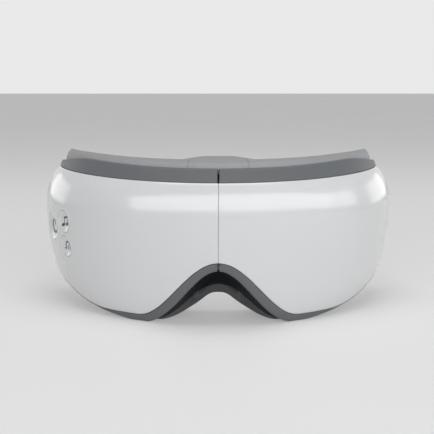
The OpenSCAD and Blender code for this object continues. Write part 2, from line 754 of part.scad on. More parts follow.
// Hoses are swept along points given as angle, depth and height
function way(path) = [for (q = path) place(q[0], q[1], q[2])];
function unit(v) = v / norm(v);
module hose(points, r = hose_r, sides = 8) {
  n = len(points);
  ways = [for (i = [0:n - 1]) unit(points[min(n - 1, i + 1)] - points[max(0, i - 1)])];
  rings = [
    for (i = [0:n - 1])
      let(t = ways[i], u = unit(cross(t, abs(t[2]) > 0.9 ? [1, 0, 0] : [0, 0, 1])), w = cross(t, u))
      for (j = [0:sides - 1]) points[i] + r * (cos(360 * j / sides) * u + sin(360 * j / sides) * w)
  ];
  faces = [
    for (i = [0:n - 2]) for (j = [0:sides - 1])
      let(a = i * sides + j, b = i * sides + (j + 1) % sides)
      for (f = [[a, a + sides, b + sides], [a, b + sides, b]]) f
  ];
  first = [for (j = [0:sides - 1]) j];
  last = [for (j = [sides - 1:-1:0]) (n - 1) * sides + j];
  polyhedron(rings, concat(faces, [first, last]));
}

// Smooth points through a few chosen ones
function curve(q, n = 4) = concat(
  [
    for (i = [0:len(q) - 2]) for (k = [0:n - 1])
      let(a = q[max(0, i - 1)], b = q[i], c = q[i + 1], d = q[min(len(q) - 1, i + 2)], t = k / n)
      b + 0.5 * t * ((c - a) + t * (2 * a - 5 * b + 4 * c - d + t * (3 * b - a - 3 * c + d)))
  ],
  [q[len(q) - 1]]
);

// Air cells: flat bags behind the pads
module air_cell() {
  n = 14;
  g = soft_gap;
  angles = [for (i = [0:n]) cell_from + (cell_to - cell_from) * i / n];
  function fat(i) = 0.25 + 0.75 * sqrt(max(0, 1 - pow(2 * i / n - 1, 4)));
  loft(angles, [
    for (i = [0:n])
      let(p = angles[i], d = deck(p) + g, t = cell_t * fat(i), z0 = cell_low + 2, z1 = cell_high - 2, m = (z0 + z1) / 2)
      [[d, z1 - 2], [d, z0 + 2], [d + 0.4 * t, z0], [d + 0.8 * t, z0 + 5], [d + t, z0 + 12], [d + t, m],
       [d + t, z1 - 12], [d + 0.8 * t, z1 - 5], [d + 0.4 * t, z1]]
  ]);
}

module air_cell_right() { color("whitesmoke") air_cell(); }
module air_cell_left() { color("whitesmoke") mirror([1, 0, 0]) air_cell(); }

module heating_film() {
  d = deck(30) + 1.6 * soft_gap + cell_t;
  band(cell_from + 2, cell_to - 4, d, d + film_t, cell_low + 5, cell_high - 5, 14);
}

module heating_film_right() { color("chocolate") heating_film(); }
module heating_film_left() { color("chocolate") mirror([1, 0, 0]) heating_film(); }

// Speakers in the arms
speaker_at = 78.3;
speaker_z = 52;
module speaker() {
  at(speaker_at, bay(speaker_at) - soft_gap - speaker_t, speaker_z) {
    inwards(speaker_r, 1.6, speaker_t - 1.6);
    inwards(speaker_r - 1.5, speaker_t - 1.5, 0);
  }
}

module speaker_right() { color("darkslategray") speaker(); }
module speaker_left() { color("darkslategray") mirror([1, 0, 0]) speaker(); }

// Vibration motor with an off-centre weight on its shaft
vib_at = 66.5;
vib_z = 60.5;
weight_t = 3.5;
vib_d = bay(vib_at) - soft_gap - vib_r;
module vibration_motor() {
  at(vib_at, vib_d, vib_z) difference() {
    cylinder(r = vib_r, h = vib_l);
    translate([0, 0, -1]) cylinder(r = 0.55, h = vib_l - 1);
  }
}

module eccentric_weight() {
  at(vib_at, vib_d, vib_z) {
    translate([0, 0, -weight_t - 0.6]) cylinder(r = 0.5, h = vib_l);
    translate([0, 0, -weight_t - 0.6]) intersection() {
      cylinder(r = vib_r - 0.4, h = weight_t);
      translate([-vib_r, -0.9, -1]) cube([2 * vib_r, 2 * vib_r, weight_t + 2]);
    }
  }
}

module vibration_motor_right() { color("silver") vibration_motor(); }
module vibration_motor_left() { color("silver") mirror([1, 0, 0]) vibration_motor(); }
module eccentric_weight_right() { color("goldenrod") eccentric_weight(); }
module eccentric_weight_left() { color("goldenrod") mirror([1, 0, 0]) eccentric_weight(); }

module charging_socket() {
  color("silver") at(port_at, port_d, port_z + 0.6) {
    difference() {
      linear_extrude(7) port_outline();
      translate([0, 0, -1]) linear_extrude(7) port_outline(-0.35);
    }
    translate([-3, -0.35, 1]) cube([6, 0.7, 5.5]);
  }
}

module charging_board() {
  color("darkgreen") at(port_at, port_d + port_w / 2, port_z + pad_step + ledge_t + 2.9)
    translate([-5, 0.05, 0]) cube([10, board_t, 10]);
}

module case_screws() {
  for (s = screw_places) at(s[0], 0, s[1]) {
    inwards(screw_r, deck(s[0]) - 1.2 - boss_from(s) - thread_from, boss_from(s) + thread_from);
    inwards(head_r, 1.3, deck(s[0]) - 1.4);
  }
}

module case_screws_right() { color("gray") case_screws(); }
module case_screws_left() { color("gray") mirror([1, 0, 0]) case_screws(); }

// Arm cap: closes the arm's end, with a slit for the band and two lugs for its bar
bar_at = 88.5;
bar_d = 7.5;
band_at_d = bar_d + bar_r + 0.2 + strap_t / 2;
strap_z = (shell_top(arm_end) + shell_low(arm_end)) / 2;
slit_gap = 0.25;
lug_t = 2.6;
cap_from = arm_end - 1.5;
module arm_cap() {
  angles = [arm_end - 3, cap_from, arm_end];
  lug_h = strap_w / 2 + 0.6;
  difference() {
    union() {
      loft(angles, [
        for (p = angles)
          let(edge = [for (v = [0.86, 0.7, 0.55, 0.4, 0.25, 0.12]) shell_at(p, shell_angle(p, v), shell_wall + 0.3)])
          concat(edge, [[bay(p) - 0.3, edge[5][1]], [bay(p) - 0.3, edge[0][1]]])
      ]);
      for (z = [strap_z - lug_h - lug_t, strap_z + lug_h])
        band(bar_at - 2, bar_at + 2, bar_d - bar_r - 0.7, arm_bay - 0.3, z, z + lug_t, 4);
      band(bar_at - 2, cap_from, arm_bay - 1.3, arm_bay - 0.3, strap_z - lug_h - lug_t, strap_z + lug_h + lug_t, 6);
    }
    translate([0, 0, strap_z - strap_w / 2 - slit_gap])
      linear_extrude(strap_w + 2 * slit_gap)
        strap_outline(strap_t / 2 + slit_gap);
    at(bar_at, bar_d, 0) cylinder(r = bar_r + 0.05, h = shell_top(bar_at));
  }
}

module arm_cap_right() { color(DARK) arm_cap(); }
module arm_cap_left() { color(DARK) mirror([1, 0, 0]) arm_cap(); }

module strap_bar() {
  l = strap_w + 1.2 + 2 * lug_t - 0.6;
  at(bar_at, bar_d, strap_z - l / 2) cylinder(r = bar_r, h = l);
}

module strap_bar_right() { color("silver") strap_bar(); }
module strap_bar_left() { color("silver") mirror([1, 0, 0]) strap_bar(); }

// Elastic band: from the bar straight out of the arm, then round the back of the head
function flat2(v) = [v[0], v[1]];
strap_in = flat2(place(bar_at, band_at_d, 0));
strap_out = flat2(place(arm_end, band_at_d, 0));
strap_dir = unit(strap_out - strap_in);
strap_back = [0, depth_all / 2 - strap_t / 2];
function bezier(a, b, c, d, t) =
  pow(1 - t, 3) * a + 3 * pow(1 - t, 2) * t * b + 3 * (1 - t) * t * t * c + pow(t, 3) * d;
function strap_run(t) =
  bezier(strap_out, strap_out + 0.5 * strap_loop * strap_dir, strap_back + [56, 0], strap_back, t);
strap_steps = 16;
strap_half = concat([strap_in], [for (i = [0:strap_steps]) strap_run(i / strap_steps)]);
function side_of(path, i) =
  let(t = unit(path[min(len(path) - 1, i + 1)] - path[max(0, i - 1)])) [-t[1], t[0]];
function beside(path, k) = [for (i = [0:len(path) - 1]) path[i] + k * side_of(path, i)];
module strap_outline(k) {
  a = beside(strap_half, k);
  b = beside(strap_half, -k);
  n = len(strap_half);
  polygon(concat(a, [for (i = [n - 1:-1:0]) b[i]]));
}

module head_strap() {
  full = concat(strap_half, [for (i = [len(strap_half) - 2:-1:0]) [-strap_half[i][0], strap_half[i][1]]]);
  a = beside(full, strap_t / 2);
  b = beside(full, -strap_t / 2);
  n = len(full);
  color([0.5, 0.51, 0.53]) translate([0, 0, strap_z - strap_w / 2]) {
    linear_extrude(strap_w) polygon(concat(a, [for (i = [n - 1:-1:0]) b[i]]));
    for (m = [0, 1]) mirror([m, 0, 0]) at(bar_at, bar_d, 0) difference() {
      cylinder(r = bar_r + 0.2 + strap_t, h = strap_w);
      translate([0, 0, -1]) cylinder(r = bar_r + 0.2, h = strap_w + 2);
    }
  }
}

// Hook tab on the outside of the band, which shortens it
tab_t = 1.2;
tab_gap = 0.2;
module strap_tab() {
  start = 0.2;
  reach = tab_l / norm(strap_run(0.45) - strap_run(start)) * (0.45 - start);
  tail = [for (i = [0:6]) strap_run(start + reach * i / 6)];
  a = beside(tail, -strap_t / 2 - tab_gap);
  b = beside(tail, -strap_t / 2 - tab_gap - tab_t);
  n = len(tail);
  color([0.3, 0.31, 0.33]) translate([0, 0, strap_z - strap_w / 2 + 1])
    linear_extrude(strap_w - 2) polygon(concat(a, [for (i = [n - 1:-1:0]) b[i]]));
}

// Hoses: pump to valve to the right air cell, the same to the left one, and the crossing at the fold
pump_out = place(pump_at, pump_d, pump_z - pump_r + 0.8 - spout_l)
  + (pump_head_l - 4) * [cos(turn(pump_at)), sin(turn(pump_at)), 0];
valve_out = place(valve_at, valve_d, valve_z + valve_h + spout_l + hose_r + 0.2);
right_hose = concat([pump_out], curve(concat(
  [pump_out - [0, 0, 1], pump_out - [0, 0, 2.5]],
  way([[53.5, 11.8, 46.8], [51, 12.4, 48.4]]),
  [valve_out],
  way([[45, 12.6, 48.6], [42.6, 12.5, 45], [42.2, 12.5, 39], [39, 12.5, 35], [34, 12.7, 33.4], [27.5, 14.5, 33.2]])
)));
left_hose = curve(way([
  [27.5, 14.5, 33.2], [22, 12.5, 34], [14, 12.5, cross_hole[1] - 3.1], [9.5, 13, cross_hole[1] - 1.7],
  [6.6, 15, cross_hole[1]], [6.6, 17.5, cross_hole[1]]
]));
loom_path = curve(way([
  [6.6, 18.5, cross_hole[1]], [6.6, 21.5, cross_hole[1]], [5.5, 26, loom_z + 0.6],
  [2.5, 30.2, loom_z + 0.2], [0, hinge_back, loom_z]
]));
module air_hose_right() { color("gainsboro") hose(right_hose); }
module air_hose_left() { color("gainsboro") mirror([1, 0, 0]) hose(left_hose); }
module hinge_loom() {
  n = len(loom_path);
  whole = concat(loom_path, [for (i = [n - 2:-1:0]) [-loom_path[i][0], loom_path[i][1], loom_path[i][2]]]);
  color("gainsboro") hose(whole);
}

front_shell_right();
front_shell_left();
trim_frame_right();
trim_frame_left();
centre_wall_right();
centre_wall_left();
face_pad_right();
face_pad_left();
nose_skin();
hinge_leaf_right();
hinge_leaf_left();
hinge_pin();
hinge_screws_right();
hinge_screws_left();
power_button();
music_button();
mode_button();
tact_switches();
button_flex();
switch_carrier();
main_board();
battery();
air_pump();
pump_rotor();
air_valve();
valve_plunger();
air_hose_right();
air_hose_left();
hinge_loom();
air_cell_right();
air_cell_left();
heating_film_right();
heating_film_left();
speaker_right();
speaker_left();
vibration_motor_right();
vibration_motor_left();
eccentric_weight_right();
eccentric_weight_left();
charging_socket();
charging_board();
case_screws_right();
case_screws_left();
arm_cap_right();
arm_cap_left();
strap_bar_right();
strap_bar_left();
head_strap();
strap_tab();
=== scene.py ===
import math

import bmesh
import bpy
import numpy as np
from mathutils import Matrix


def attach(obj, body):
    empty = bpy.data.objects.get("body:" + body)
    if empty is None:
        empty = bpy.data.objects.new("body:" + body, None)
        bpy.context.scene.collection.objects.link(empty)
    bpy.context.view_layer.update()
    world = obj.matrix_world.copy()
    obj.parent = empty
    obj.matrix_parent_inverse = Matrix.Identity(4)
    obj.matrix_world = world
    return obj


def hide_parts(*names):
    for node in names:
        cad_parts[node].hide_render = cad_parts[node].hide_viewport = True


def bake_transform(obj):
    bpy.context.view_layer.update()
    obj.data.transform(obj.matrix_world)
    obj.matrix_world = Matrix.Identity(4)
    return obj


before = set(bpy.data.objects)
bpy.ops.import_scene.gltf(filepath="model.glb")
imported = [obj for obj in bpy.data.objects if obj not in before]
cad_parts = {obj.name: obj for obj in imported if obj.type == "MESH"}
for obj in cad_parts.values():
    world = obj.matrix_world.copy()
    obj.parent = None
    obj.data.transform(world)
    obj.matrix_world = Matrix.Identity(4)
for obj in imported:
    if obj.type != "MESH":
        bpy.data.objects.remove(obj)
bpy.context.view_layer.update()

# Table top, light and camera. The mask stands on a plain pale table top under soft studio light: a long
# lamp in front, one above, low ones behind both ends, a small one at each side and an even surround.
# The camera is half a metre in front.


class Wire:
    """One output of a node in a material. Sums, products and comparisons of wires add Math nodes."""

    def __init__(self, tree, out=None):
        self.tree, self.out = tree, out

    def node(self, kind, settings=None, out=0, **sockets):
        """Any other node: type, settings, output, then sockets by name (_ for a space) or as i0, i1."""
        made = self.tree.nodes.new("ShaderNode" + kind)
        for key, value in (settings or {}).items():
            setattr(made, key, value)
        for key, value in sockets.items():
            by_number = key[0] == "i" and key[1:].isdigit()
            socket = made.inputs[int(key[1:])] if by_number else made.inputs[key.replace("_", " ")]
            if isinstance(value, Wire):
                self.tree.links.new(value.out, socket)
            else:
                socket.default_value = value
        return Wire(self.tree, made.outputs[out] if made.outputs else None)

    def also(self, out):
        """Another output of the same node, by its number or name."""
        return Wire(self.tree, self.out.node.outputs[out])

    def texture(self, kind, scale, settings=None, out=0, **sockets):
        """A texture of that scale on the piece's own Object coordinates."""
        where = self.node("TexCoord", out=3)
        return self.node("Tex" + kind, settings, out, Vector=where, Scale=scale, **sockets)

    def bump(self, strength, distance):
        """A surface normal for which this number is a height. The distance is in metres."""
        return self.node("Bump", Height=self, Strength=strength, Distance=distance)

    def math(self, operation, *values):
        """A Math node of that operation."""
        numbers = {f"i{i}": value for i, value in enumerate(values)}
        return self.node("Math", {"operation": operation}, **numbers)

    def __add__(self, other):
        return self.math("ADD", self, other)

    def __sub__(self, other):
        return self.math("SUBTRACT", self, other)

    def __rsub__(self, other):
        return self.math("SUBTRACT", other, self)

    def __mul__(self, other):
        return self.math("MULTIPLY", self, other)

    def __truediv__(self, other):
        return self.math("DIVIDE", self, other)

    def __pow__(self, other):
        return self.math("POWER", self, other)

    def __lt__(self, other):
        return self.math("LESS_THAN", self, other)

    def __gt__(self, other):
        return self.math("GREATER_THAN", self, other)

    __radd__ = __add__
    __rmul__ = __mul__

    def most(self, other):
        """The greater of the two numbers."""
        return self.math("MAXIMUM", self, other)

    def size(self):
        """The number without its sign."""
        return self.math("ABSOLUTE", self)

    def held(self):
        """The number kept between 0 and 1."""
        return self.node("Clamp", Value=self)

    def shade(self, low, high):
        """A colour between two, which this number chooses from 0 to 1."""
        return self.node("Mix", {"data_type": "RGBA"}, out=2, i0=self, i6=low, i7=high)

    def look(self, low, high, rough, vary, relief=(), **rest):
        """Shader values that follow this number: a shade, a roughness that varies, and any relief."""
        if relief:
            rest["Normal"] = self.bump(*relief)
        return {"Base_Color": self.shade(low, high), "Roughness": rough + vary * self, **rest}


def bare_tree(owner):
    """A wire that starts in the emptied node tree of a material or world."""
    owner.use_nodes = True
    owner.node_tree.nodes.clear()
    return Wire(owner.node_tree)


def finish(name, pattern):
    """A material whose Principled shader gets the values and wires that pattern(start) returns."""
    made = bpy.data.materials.new(name)
    start = bare_tree(made)
    shader = start.node("BsdfPrincipled", **pattern(start))
    start.node("OutputMaterial", Surface=shader)
    return made


def grey(level):
    """A neutral colour of that linear level."""
    return (level, level, level, 1.0)


def seen_ray(start):
    """1 for rays from the camera and off or through shiny things, 0 for rays that light things."""
    rays = start.node("LightPath")
    mirrored_or_clear = rays.also("Is Glossy Ray").most(rays.also("Is Transmission Ray"))
    return rays.also("Is Camera Ray").most(mirrored_or_clear)


def table_top():
    """A pale laminate. Seen rays get a share of its colour as it would be under full light."""
    made = bpy.data.materials.new("pale_table_top")
    start = bare_tree(made)
    speckle = start.node("TexNoise", Scale=40.0, Detail=4.0).shade(grey(0.84), grey(0.88))
    lit = start.node("BsdfPrincipled", Base_Color=speckle, Roughness=0.55)
    full = start.node("Emission", Color=speckle, Strength=1.0)
    either = start.node("MixShader", i0=seen_ray(start) * full_share, i1=lit, i2=full)
    start.node("OutputMaterial", Surface=either)
    return made


def put(name, data):
    """A new object in the scene that shows those data."""
    made = bpy.data.objects.new(name, data)
    bpy.context.scene.collection.objects.link(made)
    return made


floor_half, full_share, world_lit, world_seen = 6.0, 0.3, 0.21, 0.61
floor_mesh = bpy.data.meshes.new("table_top")
corners = [(-floor_half, -floor_half, 0), (floor_half, -floor_half, 0),
           (floor_half, floor_half, 0), (-floor_half, floor_half, 0)]
floor_mesh.from_pydata(corners, [], [(0, 1, 2, 3)])
floor_mesh.materials.append(table_top())
table_object = put("table_top", floor_mesh)


def surround(start):
    """An even grey surround, which the camera and shiny surfaces see paler than it lights."""
    return start.node("Background", Color=grey(1.0), Strength=world_lit + world_seen * seen_ray(start))


world = bpy.data.worlds.new("studio")
sky = bare_tree(world)
sky.node("OutputWorld", Surface=surround(sky))
bpy.context.scene.world = world


def soft_lamp(name, at, towards, size, watts):
    """A lamp of that width and height at a place, turned to face another, all in metres."""
    lamp = put(name, bpy.data.lights.new(name, "AREA"))
    lamp.data.shape, lamp.data.energy = "RECTANGLE", watts
    lamp.data.size, lamp.data.size_y = size
    lamp.location, lamp.visible_camera = at, False
    away = np.array(at) - np.array(towards)
    lamp.rotation_euler = (
        math.atan2(math.hypot(away[0], away[1]), away[2]), 0, math.atan2(away[0], -away[1]))


mask_middle, camera_down = (0, -0.03, 0.05), 9.08
soft_lamp("lamp_front", (0.13, -0.95, 0.38), mask_middle, (3.0, 0.48), 9.9)
soft_lamp("lamp_over", (0.0, -0.1, 1.1), mask_middle, (0.9, 0.7), 4.3)
soft_lamp("lamp_behind_left", (-0.72, 0.42, 0.17), mask_middle, (0.5, 0.28), 0.42)
soft_lamp("lamp_behind_right", (0.72, 0.42, 0.17), mask_middle, (0.5, 0.28), 0.45)
soft_lamp("lamp_right", (0.92, -0.26, 0.24), mask_middle, (0.42, 0.30), 0.65)
soft_lamp("lamp_left", (-0.68, -0.22, 0.70), mask_middle, (0.8, 0.5), 0.1)

camera = put("camera", bpy.data.cameras.new("camera"))
camera.data.sensor_width, camera.data.lens = 36.0, 73.66
camera.location = (-0.0007, -0.5471, 0.1335)
camera.rotation_euler = (math.radians(90 - camera_down), 0, 0)
bpy.context.scene.camera = camera
bpy.context.scene.view_settings.view_transform = "Standard"

# White front shell. Two glossy white mouldings, 2.2 mm thick, wrap round the face from a fine seam in
# the middle, on half an ellipse as seen from above. The left one has three round holes for the keys.
# All sizes are in millimetres, as on the drawing, until a mesh is made of them.

half_width, wrap_depth, strap_loop = 104.5, 84.0, 84.0
arm_end, tip_start, tip_drop, tip_tuck = 97.0, 84.0, 8.0, 1.5
depth_all = wrap_depth * (1 - math.cos(math.radians(arm_end))) + strap_loop
shell_wall, crown_z, top_z, top_rise, top_fall = 2.2, 57.0, 77.4, 2.7, 1.5
top_roll, top_roll_side, low_roll, low_roll_side = 9.5, 5.0, 11.0, 10.0
arch_z, arch_half, side_rise, band_low = 35.1, 46.8, 21.0, 3.8
top_angle, low_h, seam_gap, wrap_mean = 66.5, crown_z + 1, 0.16, 85.0


def smooth(x, low, high):
    """A smooth step from 0 at low to 1 at high."""
    t = np.clip((x - low) / (high - low), 0, 1)
    return t * t * (3 - 2 * t)


def bell(x, half):
    """A cosine bell of height 1 that ends at half to either side."""
    return np.where(np.abs(x) < half, (1 + np.cos(np.pi * np.clip(x / half, -1, 1))) / 2, 0)


def sine(angle):
    """The sine of an angle in degrees."""
    return np.sin(np.radians(angle))


def cosine(angle):
    """The cosine of an angle in degrees."""
    return np.cos(np.radians(angle))


def outward(p):
    """The level direction square to the wrap at the angle p."""
    v = np.stack([wrap_depth * sine(p), -half_width * cosine(p)], -1)
    return v / np.linalg.norm(v, axis=-1, keepdims=True)


def place(p, d, z):
    """The point at the angle p of the wrap, d inwards from its outside, at the height z."""
    p, d, z = np.broadcast_arrays(p, d, z)
    n = outward(p)
    return np.stack([half_width * sine(p) - n[..., 0] * d,
                     wrap_depth * (1 - cosine(p)) - n[..., 1] * d - depth_all / 2, z], -1)


def angle_at(x):
    """The wrap's angle at x to the side of the middle: the arc sine of x over the half width."""
    return math.degrees(math.asin(x / half_width))


def tip(p):
    """0 along the wrap and 1 at the arm's end, as a quarter circle."""
    u = np.clip((np.abs(p) - tip_start) / (arm_end - tip_start), 0, 0.999)
    return 1 - np.sqrt(1 - u * u)


def shell_top(p):
    """The shell's upper edge: smooth steps up to the side and down again, and a drop at the arm's end."""
    level = top_z + top_rise * smooth(np.abs(p), 0, 80) - top_fall * smooth(np.abs(p), 76, 92)
    return level - tip_drop * tip(p)


def shell_low(p):
    """The shell's lower edge: a cosine arch over the nose, then a smooth rise along the arm."""
    arch = (arch_z - band_low) * bell(half_width * sine(p), arch_half)
    return band_low + arch + side_rise * smooth(np.abs(p), 40, 94) + tip_drop * tip(p)


def shell_at(p, w, k=0.0):
    """Depth and height on the shell at the section angle w, and k inside it: two quarter ellipses."""
    p, w = np.broadcast_arrays(np.asarray(p, float), np.asarray(w, float))
    side = smooth(np.abs(p), 20, 75)
    c = np.where(w > 0, top_roll + top_roll_side * side, low_roll + low_roll_side * side)
    h = np.where(w > 0, (shell_top(p) - crown_z) / sine(top_angle), low_h)
    m = np.hypot(h * cosine(w), c * sine(w))
    depth = c * (1 - cosine(w)) + tip_tuck * tip(p) + k * h * cosine(w) / m
    return depth, crown_z + h * sine(w) - k * c * sine(w) / m


def low_angle(p):
    """The section angle at the lower edge: the arc sine of its share of the ellipse below the crown."""
    return np.degrees(np.arcsin((crown_z - shell_low(p)) / low_h))


def shell_point(p, v, k=0.0):
    """A point of the shell: p along the wrap, v from 0 at its lower lip to 1 at its upper one."""
    w = -low_angle(p) + v * (top_angle + low_angle(p))
    return place(p, *shell_at(p, w, k))


def shell_inset(p, z):
    """How far the shell's outside lies behind the wrap at the height z."""
    t = z - crown_z
    side = smooth(np.abs(p), 20, 75)
    h = (shell_top(p) - crown_z) / sine(top_angle) if t > 0 else low_h
    c = (top_roll + top_roll_side * side) if t > 0 else (low_roll + low_roll_side * side)
    return c * (1 - np.sqrt(1 - t * t / h / h)) + tip_tuck * tip(p)


def wrap_angles(first, steps, tip_steps=22, edge=(0.0, 0.05, 0.16, 0.34)):
    """Angles from the seam to the arm's end, close together at both ends for their rounded edges."""
    start = [first + e for e in edge]
    middle = np.linspace(first + 0.9, tip_start, steps)
    ends = tip_start + (arm_end - tip_start) * np.sin(np.linspace(0, np.pi / 2, tip_steps + 1)[1:])
    last = [arm_end - e for e in edge[::-1]]
    return np.array([*start, *middle, *[a for a in ends if a < last[0] - 0.1], *last])


def edge_inset(angles, radius):
    """How far a section draws in near its first and last angle, for an edge of that radius."""
    along = np.minimum(np.abs(angles - angles[0]), np.abs(angles - angles[-1]))
    reach = np.clip(1 - np.radians(along) * wrap_mean / radius, 0, 1)
    return radius * (1 - np.sqrt(1 - reach ** 2))


def grid_faces(rows, columns, closed=False):
    """Corners of the four-sided faces of a grid of points, whose columns may join up in a loop."""
    a = np.arange(rows * columns).reshape(rows, columns)
    if closed:
        a = np.concatenate([a, a[:, :1]], 1)
    return np.stack([a[:-1, :-1], a[1:, :-1], a[1:, 1:], a[:-1, 1:]], -1).reshape(-1, 4)


def capped(rows, columns):
    """Faces round a solid of closed loops of points, with its first and last loop filled."""
    number = np.arange(rows * columns)
    return [grid_faces(rows, columns, closed=True), [number[:columns]], [number[-columns:]]]


def between(one, two):
    """The four-sided faces between two closed loops of point numbers."""
    a, b = np.append(one, one[0]), np.append(two, two[0])
    return np.stack([a[:-1], a[1:], b[1:], b[:-1]], -1)


def closed_mesh(name, points, faces, masks=()):
    """A mesh from points in millimetres and corner numbers, its doubles merged and its faces outwards.

    Each mask picks faces of the first group, which get the finish of the mask's number, from 1."""
    mesh = bpy.data.meshes.new(name)
    corners = [corner for group in faces for corner in np.asarray(group).tolist()]
    mesh.from_pydata((np.asarray(points, float).reshape(-1, 3) * 0.001).tolist(), [], corners)
    finishes = np.zeros(len(corners), np.int32)
    for number, mask in enumerate(masks, 1):
        finishes[:len(mask)][mask] = number
    mesh.polygons.foreach_set("material_index", finishes)
    shape = bmesh.new()
    shape.from_mesh(mesh)
    bmesh.ops.remove_doubles(shape, verts=shape.verts, dist=2e-6)
    bmesh.ops.delete(shape, geom=[v for v in shape.verts if not v.link_faces], context="VERTS")
    bmesh.ops.recalc_face_normals(shape, faces=shape.faces)
    shape.to_mesh(mesh)
    shape.free()
    return mesh


def places_of(mesh):
    """The mesh's points in millimetres."""
    flat = np.zeros(len(mesh.vertices) * 3)
    mesh.vertices.foreach_get("co", flat)
    return flat.reshape(-1, 3) * 1000


def make(name, points, faces, material, slot, body, stands_for=(), sharp=None, uv=None, other=()):
    """A closed piece that rides on a body. other holds more finishes, each with its mask of faces.

    uv works out the piece's flat places from its points, and edges past the angle sharp stay crisp."""
    mesh = closed_mesh(name, points, faces, [mask for _, mask in other])
    if uv is not None:
        corner = np.zeros(len(mesh.loops), np.int32)
        mesh.loops.foreach_get("vertex_index", corner)
        flat = uv(places_of(mesh))[corner]
        mesh.uv_layers.new(name="UVMap").data.foreach_set("uv", flat.astype(np.float32).ravel())
    mesh.shade_smooth()
    if sharp is not None:
        mesh.set_sharp_from_angle(angle=math.radians(sharp))
    for one in (material, *[more for more, _ in other]):
        mesh.materials.append(one)
    made = put(name, mesh)
    if body:
        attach(made, body)
    if stands_for:
        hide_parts(*stands_for)
    return made


def mirrored(points):
    """The same points on the other side of the middle."""
    return np.asarray(points) * [-1, 1, 1]


def make_pair(name, points, faces, material, slot, node=None, **more):
    """A piece on the right half, and its mirror image on the left. Each replaces its side's node."""
    return [make(f"{name}_{side}", turned(points), faces, material, slot, f"{side}_half",
                 [f"{node}_{side}"] if node else (), **more)
            for side, turned in (("right", np.asarray), ("left", mirrored))]


class Key:
    """Where a round key sits: its angle along the wrap, its height and its radius.

    Its own directions are level along the wrap, up along the shell, and inwards, square to both."""

    def __init__(self, angle, height, radius):
        self.angle, self.height, self.radius = angle, height, radius
        self.centre = place(angle, shell_inset(angle, height), height)
        step = 0.01
        up = place(angle, shell_inset(angle, height + step), height + step) - self.centre
        self.up = up / np.linalg.norm(up)
        n = outward(angle)
        self.along = np.array([-n[1], n[0], 0.0])
        self.inwards = -np.cross(self.along, self.up)

    def at(self, a, b, c):
        """The point a along the wrap, b up and c inwards from the key's place on the shell."""
        a, b, c = np.broadcast_arrays(a, b, c)
        return (self.centre + a[..., None] * self.along + b[..., None] * self.up
                + c[..., None] * self.inwards)

    def seen(self, points):
        """Those three distances for given points."""
        v = points - self.centre
        return v @ self.along, v @ self.up, v @ self.inwards

    def shell_under(self, a, b, k=0.0):
        """Shell coordinates of the line through a, b square to the key, by Newton's rule."""
        p = np.full(np.shape(a), float(self.angle))
        v = np.full(np.shape(a), 0.3)
        for _ in range(12):
            x, y, _ = self.seen(shell_point(p, v, k))
            xp, yp, _ = self.seen(shell_point(p + 1e-3, v, k))
            xv, yv, _ = self.seen(shell_point(p, v + 1e-4, k))
            a1, b1, a2, b2 = (xp - x) / 1e-3, (xv - x) / 1e-4, (yp - y) / 1e-3, (yv - y) / 1e-4
            det = a1 * b2 - b1 * a2
            p = p + ((a - x) * b2 - b1 * (b - y)) / det
            v = np.clip(v + (a1 * (b - y) - (a - x) * a2) / det, 0.02, 0.98)
        return p, v


power_seat, music_seat, mode_seat = Key(68.0, 46.7, 8.0), Key(57.2, 51.5, 6.3), Key(57.2, 37.2, 6.0)
key_holes = [(power_seat, (62.0, 74.3), (11, 26)), (music_seat, (52.3, 62.0), (21, 31)),
             (mode_seat, (52.3, 62.0), (12, 21))]
hole_slack, shell_steps, shell_levels, lip_steps, lip, shell_edge = 0.14, 118, 61, 8, 0.0065, 0.12


